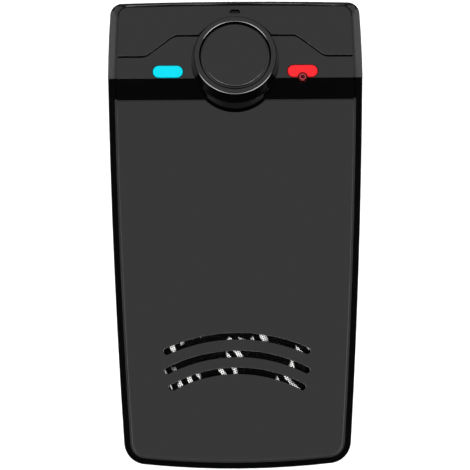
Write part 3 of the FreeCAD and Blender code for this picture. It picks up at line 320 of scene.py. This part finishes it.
ferrite, tree, surface, place = start_material("ground ferrite", {"Roughness": 0.6, "IOR": 2.2})
ground = add_node(tree, "ShaderNodeTexNoise",
                  {"Vector": place, "Scale": grain(0.2), "Detail": 4.0})
shade = add_node(tree, "ShaderNodeValToRGB", {"Fac": ground.outputs["Fac"]})
shade.color_ramp.elements[0].color = linear("#2b2c2f")
shade.color_ramp.elements[1].color = linear("#47484b")
tree.links.new(shade.outputs["Color"], surface.inputs["Base Color"])
finish_node("speaker_magnet", ferrite)

cone_paper, tree, surface, place = start_material(
    "coated black cone paper", {"Roughness": 0.7, "IOR": 1.5})
fibres = add_node(tree, "ShaderNodeTexNoise",
                  {"Vector": place, "Scale": grain(0.4), "Detail": 6.0, "Distortion": 1.2})
shade = add_node(tree, "ShaderNodeValToRGB", {"Fac": fibres.outputs["Fac"]})
shade.color_ramp.elements[0].color = linear("#101011")
shade.color_ramp.elements[1].color = linear("#1f1f20")
felted = add_node(tree, "ShaderNodeBump",
                  {"Height": fibres.outputs["Fac"], "Strength": 0.5, "Distance": 0.05 * MM})
tree.links.new(shade.outputs["Color"], surface.inputs["Base Color"])
tree.links.new(felted.outputs["Normal"], surface.inputs["Normal"])
for node in ("speaker_cone", "dust_cap"):
    finish_node(node, cone_paper)

copper, tree, surface, place = start_material(
    "enamelled copper winding", {"Metallic": 1.0, "Base Color": linear("#b8693a"),
                                 "Roughness": 0.28})
turns = add_node(tree, "ShaderNodeTexWave", {"Vector": place, "Scale": grain(0.2) / 6.3},
                 wave_type="BANDS", bands_direction="Z")
wound = add_node(tree, "ShaderNodeBump",
                 {"Height": turns.outputs["Fac"], "Strength": 0.8, "Distance": 0.05 * MM})
tree.links.new(wound.outputs["Normal"], surface.inputs["Normal"])
finish_node("voice_coil", copper)

rubber, tree, surface, place = start_material(
    "moulded black rubber", {"Roughness": 0.75, "IOR": 1.52})
bloom = add_node(tree, "ShaderNodeTexNoise", {"Vector": place, "Scale": grain(0.6), "Detail": 4.0})
shade = add_node(tree, "ShaderNodeValToRGB", {"Fac": bloom.outputs["Fac"]})
shade.color_ramp.elements[0].color = linear("#151516")
shade.color_ramp.elements[1].color = linear("#232324")
pores = add_node(tree, "ShaderNodeBump",
                 {"Height": bloom.outputs["Fac"], "Strength": 0.3, "Distance": 0.04 * MM})
tree.links.new(shade.outputs["Color"], surface.inputs["Base Color"])
tree.links.new(pores.outputs["Normal"], surface.inputs["Normal"])
finish_node("mic_boot", rubber)

# The surround is glued to the cone inside and to the basket outside. It is cut here into
# wedge slices, each closed across its cut faces.
SLICES = 12

surround_low, surround_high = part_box("speaker_surround")
middle = (surround_low + surround_high) / 2
half_turn = math.pi / SLICES
for count in range(SLICES):
    turn = 2 * half_turn * count
    way = Vector((math.cos(turn), math.sin(turn), 0))
    arc = bmesh.new()
    arc.from_mesh(frame["nodes"]["speaker_surround"].data)
    bmesh.ops.remove_doubles(arc, verts=arc.verts, dist=0.001 * MM)
    for side in (-1, 1):
        facing = turn + side * (half_turn + math.pi / 2)
        bmesh.ops.bisect_plane(arc, geom=arc.verts[:] + arc.edges[:] + arc.faces[:],
                               plane_co=middle, plane_no=(math.cos(facing), math.sin(facing), 0),
                               clear_outer=True)
        bmesh.ops.holes_fill(arc, edges=[e for e in arc.edges if e.is_boundary])
    mesh = bpy.data.meshes.new(f"surround_slice_{count}")
    arc.to_mesh(mesh)
    arc.free()
    mesh.materials.append(rubber)
    rubber_slice = bpy.data.objects.new(f"surround_slice_{count}", mesh)
    bpy.context.scene.collection.objects.link(rubber_slice)
    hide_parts("speaker_surround")
    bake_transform(rubber_slice)


# ---- loudspeaker mesh ----------------------------------------------------------------
# A disc of woven steel wire painted black, which keeps dust off the cone. Pale flecks in short
# slanting strokes are painted glints, standing for the light the wire catches in the sound slots.

WIRE_RADIUS = 0.1 * MM
WIRE_PITCH = 0.45 * MM
WEAVE_RISE = 0.03 * MM
WEAVE_TURN = math.radians(20)

black_wire_painted_glints, tree, surface, place = start_material(
    "black wire paint with painted glints", {"Roughness": 0.4, "Specular IOR Level": 0.03})
clusters = add_node(tree, "ShaderNodeTexNoise",
                    {"Vector": place, "Scale": grain(8.0), "Detail": 1.0})
inside = add_node(tree, "ShaderNodeMapRange",
                  {"Value": clusters.outputs["Fac"], "From Min": 0.50, "From Max": 0.53})
slanted = add_node(tree, "ShaderNodeMapping",
                   {"Vector": place, "Rotation": (0, 0, math.radians(-30))})
strokes = add_node(tree, "ShaderNodeTexWave",
                   {"Vector": slanted.outputs["Vector"], "Scale": grain(1.3) / 6.3,
                    "Distortion": 4.0, "Detail": 2.0, "Detail Scale": 1.5},
                   wave_type="BANDS", bands_direction="X")
glint_strokes = add_node(tree, "ShaderNodeMapRange",
                  {"Value": strokes.outputs["Fac"], "From Min": 0.60, "From Max": 0.68})
# Painted glints: where the cluster mask and the slanting strokes meet, the wire's colour turns
# pale to stand for light it catches.
painted_glint_mask = add_node(tree, "ShaderNodeMath",
                {0: inside.outputs["Result"], 1: glint_strokes.outputs["Result"]}, operation="MULTIPLY")
shade = add_node(tree, "ShaderNodeValToRGB", {"Fac": painted_glint_mask.outputs["Value"]})
shade.color_ramp.elements[0].color = linear("#010101")
shade.color_ramp.elements[1].color = linear("#f4f4f2")
tree.links.new(shade.outputs["Color"], surface.inputs["Base Color"])

mesh_low, mesh_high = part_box("speaker_mesh")
mesh_middle = (mesh_low + mesh_high) / 2
mesh_radius = (mesh_high.x - mesh_low.x) / 2 - WIRE_RADIUS
rows = int(mesh_radius / WIRE_PITCH)
gauze = bmesh.new()
end = bmesh.ops.create_circle(gauze, segments=4, radius=WIRE_RADIUS)["verts"]
bmesh.ops.rotate(gauze, verts=end, matrix=Matrix.Rotation(math.radians(90), 3, "Y"))
bmesh.ops.translate(gauze, verts=end, vec=(-rows * WIRE_PITCH, 0, WEAVE_RISE))
edges = gauze.edges[:]
for step in range(2 * rows):
    grown = bmesh.ops.extrude_edge_only(gauze, edges=edges)["geom"]
    ends = [g for g in grown if isinstance(g, bmesh.types.BMVert)]
    edges = [g for g in grown if isinstance(g, bmesh.types.BMEdge)]
    bmesh.ops.translate(gauze, verts=ends, vec=(WIRE_PITCH, 0, -2 * WEAVE_RISE * (-1) ** step))
strand = gauze.verts[:] + gauze.edges[:] + gauze.faces[:]
for row in range(-rows, rows + 1):
    if row != 0:
        copied = bmesh.ops.duplicate(gauze, geom=strand)["geom"]
        copied = [g for g in copied if isinstance(g, bmesh.types.BMVert)]
        bmesh.ops.scale(gauze, verts=copied, vec=(1, 1, (-1) ** row))
        bmesh.ops.translate(gauze, verts=copied, vec=(0, row * WIRE_PITCH, 0))
outside = [v for v in gauze.verts
           if math.hypot(round(v.co.x / WIRE_PITCH), round(v.co.y / WIRE_PITCH)) > rows]
bmesh.ops.delete(gauze, geom=outside, context="VERTS")
bmesh.ops.holes_fill(gauze, edges=gauze.edges, sides=4)
crossing = bmesh.ops.duplicate(gauze, geom=gauze.verts[:] + gauze.edges[:] + gauze.faces[:])
crossing = [g for g in crossing["geom"] if isinstance(g, bmesh.types.BMVert)]
bmesh.ops.rotate(gauze, verts=crossing, matrix=Matrix.Rotation(math.radians(90), 3, "Z"))
bmesh.ops.scale(gauze, verts=crossing, vec=(1, 1, -1))
bmesh.ops.rotate(gauze, verts=gauze.verts, matrix=Matrix.Rotation(WEAVE_TURN, 3, "Z"))
bmesh.ops.translate(gauze, verts=gauze.verts, vec=mesh_middle)
bmesh.ops.recalc_face_normals(gauze, faces=gauze.faces)
make_piece(gauze, "speaker_gauze", black_wire_painted_glints, "housing", "mesh_metal", "speaker_mesh")


# ---- front shell ---------------------------------------------------------------------
# The front half of the case, moulded in black ABS in a polished mould. Its narrow rim runs
# round the outer panels, and its deck under them carries the boards and the loudspeaker.

HEAD_TILT = math.radians(17)
RIDGE = Vector((0, 37.45, 21.9)) * MM
head_axes = Matrix.Translation(RIDGE) @ Matrix.Rotation(-HEAD_TILT, 4, "X")

# Polished ABS: a deep black that mirrors the studio, with a faint moulded ripple and the
# finest of polishing marks.
polished_abs, tree, surface, place = start_material(
    "polished black ABS", {"Base Color": linear("#040404"), "IOR": 1.53})
marks = add_node(tree, "ShaderNodeTexNoise",
                 {"Vector": place, "Scale": grain(0.8), "Detail": 4.0, "Roughness": 0.7})
gloss = add_node(tree, "ShaderNodeMapRange",
                 {"Value": marks.outputs["Fac"], "To Min": 0.07, "To Max": 0.14})
ripple = add_node(tree, "ShaderNodeTexNoise",
                  {"Vector": place, "Scale": grain(7.0), "Detail": 1.0})
waved = add_node(tree, "ShaderNodeBump",
                 {"Height": ripple.outputs["Fac"], "Strength": 0.3, "Distance": 0.02 * MM})
tree.links.new(gloss.outputs["Result"], surface.inputs["Roughness"])
tree.links.new(waved.outputs["Normal"], surface.inputs["Normal"])

front = joined_copy("front_housing")
round_edges(front, 0.14 * MM, lowest=16.4 * MM)
make_piece(front, "front_shell", polished_abs, "housing", "black_gloss", "front_housing")


# ---- outer panels --------------------------------------------------------------------
# Three thin polished panels glued to the deck: the cap above the seam, the panel round the
# keys with the knob's pedestal, and the large lower panel with the sound slots.

cap = joined_copy("top_cap")
round_edges(cap, 0.12 * MM)
make_piece(cap, "cap_panel", polished_abs, "housing", "black_gloss", "top_cap")

keys_panel = joined_copy("control_panel")
round_edges(keys_panel, 0.12 * MM)
make_piece(keys_panel, "keys_panel", polished_abs, "housing", "black_gloss", "control_panel")

slots_panel = joined_copy("speaker_panel")
round_edges(slots_panel, 0.12 * MM)
make_piece(slots_panel, "slots_panel", polished_abs, "housing", "black_gloss", "speaker_panel")


# ---- call keys -----------------------------------------------------------------------
# Two translucent acrylic keys with rounded tops, lit from below. Each slides in its hole
# in the panel and presses a switch on the small board.

def acrylic(name, deep, pale):
    """Dyed acrylic: even and bright, its tone varying a little at random between a deeper and a
    paler shade.
    """
    made, tree, surface, place = start_material(
        name, {"Roughness": 0.38, "IOR": 1.49, "Specular IOR Level": 0.1})
    dye = add_node(tree, "ShaderNodeTexNoise",
                   {"Vector": place, "Scale": grain(3.0), "Detail": 2.0})
    shade = add_node(tree, "ShaderNodeValToRGB", {"Fac": dye.outputs["Fac"]})
    shade.color_ramp.elements[0].color = linear(deep)
    shade.color_ramp.elements[1].color = linear(pale)
    tree.links.new(shade.outputs["Color"], surface.inputs["Base Color"])
    return made


blue_acrylic = acrylic("blue acrylic", "#00a9b8", "#00aebe")
red_acrylic = acrylic("red acrylic", "#bc1b20", "#c21f25")
make_piece(joined_copy("blue_key"), "blue_key_cap", blue_acrylic, "blue_button", "blue_key",
           "blue_key")
make_piece(joined_copy("red_key"), "red_key_cap", red_acrylic, "red_button", "red_key", "red_key")


# ---- power mark ----------------------------------------------------------------------
# A small round window in the red key's lower edge, deep red acrylic, with the usual power
# sign raised on it as a paler ring with one bar.

KEY_X = 16.08 * MM
LENS_UP = 0.1 * MM / math.cos(HEAD_TILT)
MARK_RADIUS = 0.66 * MM
MARK_LINE = 0.12 * MM
LENS_RADIUS = 1.1 * MM
LENS_PROUD = 0.35 * MM
LENS_DEPTH = 1.9 * MM
BAR_LENGTH = 0.34 * MM

mark_place = head_axes @ Matrix.Translation((KEY_X, LENS_UP, 0))
dark_acrylic = acrylic("deep red acrylic", "#2a0305", "#380507")
window = bmesh.new()
bmesh.ops.create_cone(window, cap_ends=True, segments=48, radius1=LENS_RADIUS,
                      radius2=LENS_RADIUS, depth=LENS_DEPTH)
bmesh.ops.translate(window, verts=window.verts, vec=(0, 0, LENS_PROUD - LENS_DEPTH / 2))
crest = [e for e in window.edges if min(v.co.z for v in e.verts) > 0]
bmesh.ops.bevel(window, geom=crest, offset=0.12 * MM, offset_type="OFFSET", segments=3,
                profile=0.5, affect="EDGES", clamp_overlap=True, material=-1)
bmesh.ops.transform(window, verts=window.verts, matrix=mark_place)
make_piece(window, "power_window", dark_acrylic, "housing", "red_lens", "power_lens")

pale_acrylic = acrylic("pale red acrylic", "#8e3238", "#9a3a40")
sign = bmesh.new()
line = bmesh.ops.create_circle(sign, segments=12, radius=MARK_LINE)["verts"]
bmesh.ops.rotate(sign, verts=line, matrix=Matrix.Rotation(math.radians(90), 3, "X"))
bmesh.ops.translate(sign, verts=line, vec=(MARK_RADIUS, 0, 0))
bmesh.ops.spin(sign, geom=sign.verts[:] + sign.edges[:], cent=(0, 0, 0), axis=(0, 0, 1),
               angle=math.radians(360), steps=40, use_merge=True)
bar = bmesh.ops.create_cube(sign, size=1)["verts"]
bmesh.ops.scale(sign, verts=bar, vec=(2 * MARK_LINE, BAR_LENGTH, 1.6 * MARK_LINE))
bmesh.ops.translate(sign, verts=bar, vec=(0, -MARK_RADIUS - BAR_LENGTH / 2, 0))
bmesh.ops.translate(sign, verts=sign.verts, vec=(0, 0, LENS_PROUD))
bmesh.ops.recalc_face_normals(sign, faces=sign.faces)
bmesh.ops.transform(sign, verts=sign.verts, matrix=mark_place)
make_piece(sign, "power_sign", pale_acrylic, "housing", "red_lens")


# ---- knob ----------------------------------------------------------------------------
# A hollow moulded knob in polished ABS, pushed on the encoder's shaft: a flared skirt, a
# flat bright ring, and a separate disc let into the ring.

KNOB_FOOT_RADIUS = 10.5 * MM
KNOB_TOP_RADIUS = 9.84 * MM
KNOB_LIFT = 0.75 * MM
KNOB_HEIGHT = 4.5 * MM
KNOB_WALL = 1.3 * MM
RING_INNER_RADIUS = 8.45 * MM
DISC_RADIUS = 7.79 * MM
DISC_DEPTH = 0.9 * MM
EDGE_RUN = 0.2 * MM
EDGE_DROP = 0.12 * MM
GROOVE_DROP = 0.7 * MM
BORE_RADIUS = 2.02 * MM
HUB_RADIUS = 3.6 * MM
SKIRT_TAPER = 0.4 * MM
ON_AXIS = 0.001 * MM
KNOB_STEPS = 96
WEB_UNDER = 2.7 * MM

turning = next(joint for joint in frame["joints"] if joint["name"] == "knob_spin")
knob_place = Matrix.Translation(turning["pos_m"]) @ Matrix.Rotation(-HEAD_TILT, 4, "X")


def turned(profile, steps, rounded):
    """A closed profile of (radius, height) points turned round the knob's axis."""
    shape = bmesh.new()
    rim = [shape.verts.new((radius, 0, height)) for radius, height in profile]
    for one, other in zip(rim, rim[1:] + rim[:1]):
        shape.edges.new((one, other))
    for corner, radius in rounded.items():
        bmesh.ops.bevel(shape, geom=[rim[corner]], offset=radius, offset_type="OFFSET",
                        segments=5, profile=0.5, affect="VERTICES", clamp_overlap=True,
                        material=-1)
    bmesh.ops.spin(shape, geom=shape.verts[:] + shape.edges[:], cent=(0, 0, 0), axis=(0, 0, 1),
                   angle=math.radians(360), steps=steps, use_merge=True)
    bmesh.ops.remove_doubles(shape, verts=shape.verts, dist=0.001 * MM)
    bmesh.ops.recalc_face_normals(shape, faces=shape.faces)
    bmesh.ops.transform(shape, verts=shape.verts, matrix=knob_place)
    return shape


ring_profile = (
    (KNOB_FOOT_RADIUS, KNOB_LIFT),
    (KNOB_TOP_RADIUS, KNOB_HEIGHT - EDGE_DROP),
    (KNOB_TOP_RADIUS - EDGE_RUN, KNOB_HEIGHT),
    (RING_INNER_RADIUS + EDGE_RUN, KNOB_HEIGHT),
    (RING_INNER_RADIUS, KNOB_HEIGHT - EDGE_DROP),
    (RING_INNER_RADIUS, KNOB_HEIGHT - DISC_DEPTH),
    ((RING_INNER_RADIUS + DISC_RADIUS) / 2, KNOB_HEIGHT - DISC_DEPTH - GROOVE_DROP),
    (DISC_RADIUS, KNOB_HEIGHT - DISC_DEPTH),
    (BORE_RADIUS, KNOB_HEIGHT - DISC_DEPTH),
    (BORE_RADIUS, KNOB_LIFT),
    (HUB_RADIUS, KNOB_LIFT),
    (HUB_RADIUS, WEB_UNDER),
    (KNOB_FOOT_RADIUS - KNOB_WALL - SKIRT_TAPER, WEB_UNDER),
    (KNOB_FOOT_RADIUS - KNOB_WALL, KNOB_LIFT),
)
ring_corners = {0: 0.2 * MM, 1: 0.05 * MM, 2: 0.04 * MM, 3: 0.04 * MM, 4: 0.05 * MM}
ring = turned(ring_profile, KNOB_STEPS, ring_corners)
make_piece(ring, "knob_ring", polished_abs, "knob", "black_gloss", "knob_rim")

disc_profile = (
    (ON_AXIS, KNOB_HEIGHT - DISC_DEPTH),
    (DISC_RADIUS, KNOB_HEIGHT - DISC_DEPTH),
    (DISC_RADIUS, KNOB_HEIGHT),
    (ON_AXIS, KNOB_HEIGHT),
)
disc = turned(disc_profile, KNOB_STEPS, {2: 0.18 * MM})
make_piece(disc, "knob_top", polished_abs, "knob", "black_gloss", "knob_disc")


# ---- visor clip ----------------------------------------------------------------------
# One length of plated spring-steel wire bent into a loop. Its ends turn in the back
# cover's lugs, and a soft rubber sleeve covers the end bar that holds the visor.

spring_wire, tree, surface, place = start_material(
    "nickel-plated spring wire", {"Metallic": 1.0, "Base Color": linear("#b9b7b2")})
drawn = add_node(tree, "ShaderNodeMapping", {"Vector": place, "Scale": (12.0, 1.0, 12.0)})
lines = add_node(tree, "ShaderNodeTexNoise",
                 {"Vector": drawn.outputs["Vector"], "Scale": grain(3.0), "Detail": 3.0})
gloss = add_node(tree, "ShaderNodeMapRange",
                 {"Value": lines.outputs["Fac"], "To Min": 0.16, "To Max": 0.34})
tree.links.new(gloss.outputs["Result"], surface.inputs["Roughness"])

wire = joined_copy("visor_clip")
round_edges(wire, 0.2 * MM)
make_piece(wire, "clip_wire", spring_wire, "clip", "spring_steel", "visor_clip")

sleeve = joined_copy("clip_grip")
round_edges(sleeve, 0.25 * MM)
make_piece(sleeve, "clip_sleeve", rubber, "clip", "black_rubber", "clip_grip")


# ---- screws --------------------------------------------------------------------------
# Small thread-forming screws in steel with a black oxide finish, turned and cross-slotted.

oxide_steel, tree, surface, place = start_material("black-oxide steel", {"Metallic": 1.0})
worn = add_node(tree, "ShaderNodeTexNoise", {"Vector": place, "Scale": grain(0.7), "Detail": 4.0})
shade = add_node(tree, "ShaderNodeValToRGB", {"Fac": worn.outputs["Fac"]})
shade.color_ramp.elements[0].color = linear("#38383a")
shade.color_ramp.elements[1].color = linear("#59595b")
gloss = add_node(tree, "ShaderNodeMapRange",
                 {"Value": worn.outputs["Fac"], "To Min": 0.3, "To Max": 0.5})
tree.links.new(shade.outputs["Color"], surface.inputs["Base Color"])
tree.links.new(gloss.outputs["Result"], surface.inputs["Roughness"])
for node in ("case_screws", "main_board_screws", "key_board_screws"):
    finish_node(node, oxide_steel)


# ---- floor, light and camera ---------------------------------------------------------
# A plain white studio floor, one wide soft light overhead, and a room for the polished
# faces to mirror: bright above and dark at the sides, with a strip light round the front.

paper, tree, surface, place = start_material(
    "white studio paper", {"Base Color": linear("#f4f4f4"), "Roughness": 0.9,
                           "Emission Color": linear("#ffffff"), "Emission Strength": 0.3})
tooth = add_node(tree, "ShaderNodeTexNoise", {"Vector": place, "Scale": grain(1.0), "Detail": 2.0})
relief = add_node(tree, "ShaderNodeBump",
                  {"Height": tooth.outputs["Fac"], "Strength": 0.1, "Distance": 0.05 * MM})
tree.links.new(relief.outputs["Normal"], surface.inputs["Normal"])
FLOOR_RADIUS = 4.0
floor_shape = bmesh.new()
bmesh.ops.create_circle(floor_shape, cap_ends=True, segments=64, radius=FLOOR_RADIUS)
bmesh.ops.translate(floor_shape, verts=floor_shape.verts, vec=(0, 0, cad_box[0].z))
floor_mesh = bpy.data.meshes.new("studio_floor")
floor_shape.to_mesh(floor_mesh)
floor_shape.free()
floor_mesh.materials.append(paper)
floor = bpy.data.objects.new("studio_floor", floor_mesh)
bpy.context.scene.collection.objects.link(floor)
floor.visible_glossy = False

world = bpy.data.worlds.new("studio")
bpy.context.scene.world = world
world.use_nodes = True
tree = world.node_tree
tree.nodes.clear()
way = add_node(tree, "ShaderNodeTexCoord", {})
parts = add_node(tree, "ShaderNodeSeparateXYZ", {"Vector": way.outputs["Generated"]})
lifted = add_node(tree, "ShaderNodeMath", {0: parts.outputs["Y"], 1: 0.2, 2: parts.outputs["Z"]},
                  operation="MULTIPLY_ADD")
dome = add_node(tree, "ShaderNodeMapRange",
                {"Value": lifted.outputs["Value"], "From Min": 0.50, "From Max": 0.70,
                 "To Min": 0.008, "To Max": 1.04}, interpolation_type="SMOOTHSTEP")
aside = add_node(tree, "ShaderNodeMath", {0: parts.outputs["X"]}, operation="ABSOLUTE")
wings = add_node(tree, "ShaderNodeMapRange",
                 {"Value": aside.outputs["Value"], "From Min": 0.16, "From Max": 0.34,
                  "To Min": 1.0, "To Max": 1.9}, interpolation_type="SMOOTHSTEP")
sky = add_node(tree, "ShaderNodeMath",
               {0: dome.outputs["Result"], 1: wings.outputs["Result"]}, operation="MULTIPLY")
below = add_node(tree, "ShaderNodeMapRange",
                 {"Value": parts.outputs["Z"], "From Min": -0.15, "From Max": -0.4,
                  "To Min": 0.0, "To Max": 0.9}, interpolation_type="SMOOTHSTEP")
whole = add_node(tree, "ShaderNodeMath",
                 {0: sky.outputs["Value"], 1: below.outputs["Result"]}, operation="ADD")

# A long strip light bent round the front. Only a first reflection shows it, so that the
# polished edges catch it and the faces beside them stay dark.
STRIP_STRENGTH = 15.0

rays = add_node(tree, "ShaderNodeLightPath", {})
nearer = add_node(tree, "ShaderNodeMath", {0: parts.outputs["Y"], 1: -1.0}, operation="MULTIPLY")
bent = add_node(tree, "ShaderNodeMath",
                {0: aside.outputs["Value"], 1: 0.62, 2: nearer.outputs["Value"]},
                operation="MULTIPLY_ADD")
once = add_node(tree, "ShaderNodeMath", {0: rays.outputs["Ray Depth"], 1: 2.5},
                operation="LESS_THAN")
strip = add_node(tree, "ShaderNodeMath",
                 {0: rays.outputs["Is Glossy Ray"], 1: once.outputs["Value"]},
                 operation="MULTIPLY").outputs["Value"]
strip_edges = (
    (bent.outputs["Value"], 0.38, 0.48),
    (parts.outputs["Y"], -0.66, -0.62),
    (parts.outputs["Z"], 0.54, 0.60),
    (parts.outputs["Z"], 0.90, 0.85),
)
for across, dark, bright in strip_edges:
    edge = add_node(tree, "ShaderNodeMapRange",
                    {"Value": across, "From Min": dark, "From Max": bright},
                    interpolation_type="SMOOTHSTEP")
    strip = add_node(tree, "ShaderNodeMath", {0: strip, 1: edge.outputs["Result"]},
                     operation="MULTIPLY").outputs["Value"]
light = add_node(tree, "ShaderNodeMath",
                 {0: strip, 1: STRIP_STRENGTH, 2: whole.outputs["Value"]},
                 operation="MULTIPLY_ADD")
mirrored = add_node(tree, "ShaderNodeBackground", {"Strength": light.outputs["Value"]})
seen = add_node(tree, "ShaderNodeBackground", {"Strength": 0.95})
either = add_node(tree, "ShaderNodeMixShader",
                  {0: rays.outputs["Is Camera Ray"], 1: mirrored.outputs["Background"],
                   2: seen.outputs["Background"]})
add_node(tree, "ShaderNodeOutputWorld", {"Surface": either.outputs["Shader"]})

LAMP_HEIGHT = 1.2
lamp = bpy.data.lights.new("overhead", "AREA")
lamp.shape = "SQUARE"
lamp.size = 1.2
lamp.energy = 20.0
overhead = bpy.data.objects.new("overhead", lamp)
overhead.location = (0, 0, LAMP_HEIGHT)
overhead.visible_glossy = False
overhead.visible_camera = False
bpy.context.scene.collection.objects.link(overhead)

CAMERA_ASIDE = -0.3 * MM
CAMERA_HEIGHT = 1.0
CAMERA_ROLL = math.radians(-0.37)
lens = bpy.data.cameras.new("camera")
lens.sensor_width = 36
lens.lens = 314.1
lens.clip_start = 0.01
camera = bpy.data.objects.new("camera", lens)
camera.location = (CAMERA_ASIDE, 0, CAMERA_HEIGHT)
camera.rotation_euler = (0, 0, CAMERA_ROLL)
bpy.context.scene.collection.objects.link(camera)
bpy.context.scene.camera = camera
bpy.context.scene.view_settings.view_transform = "Standard"
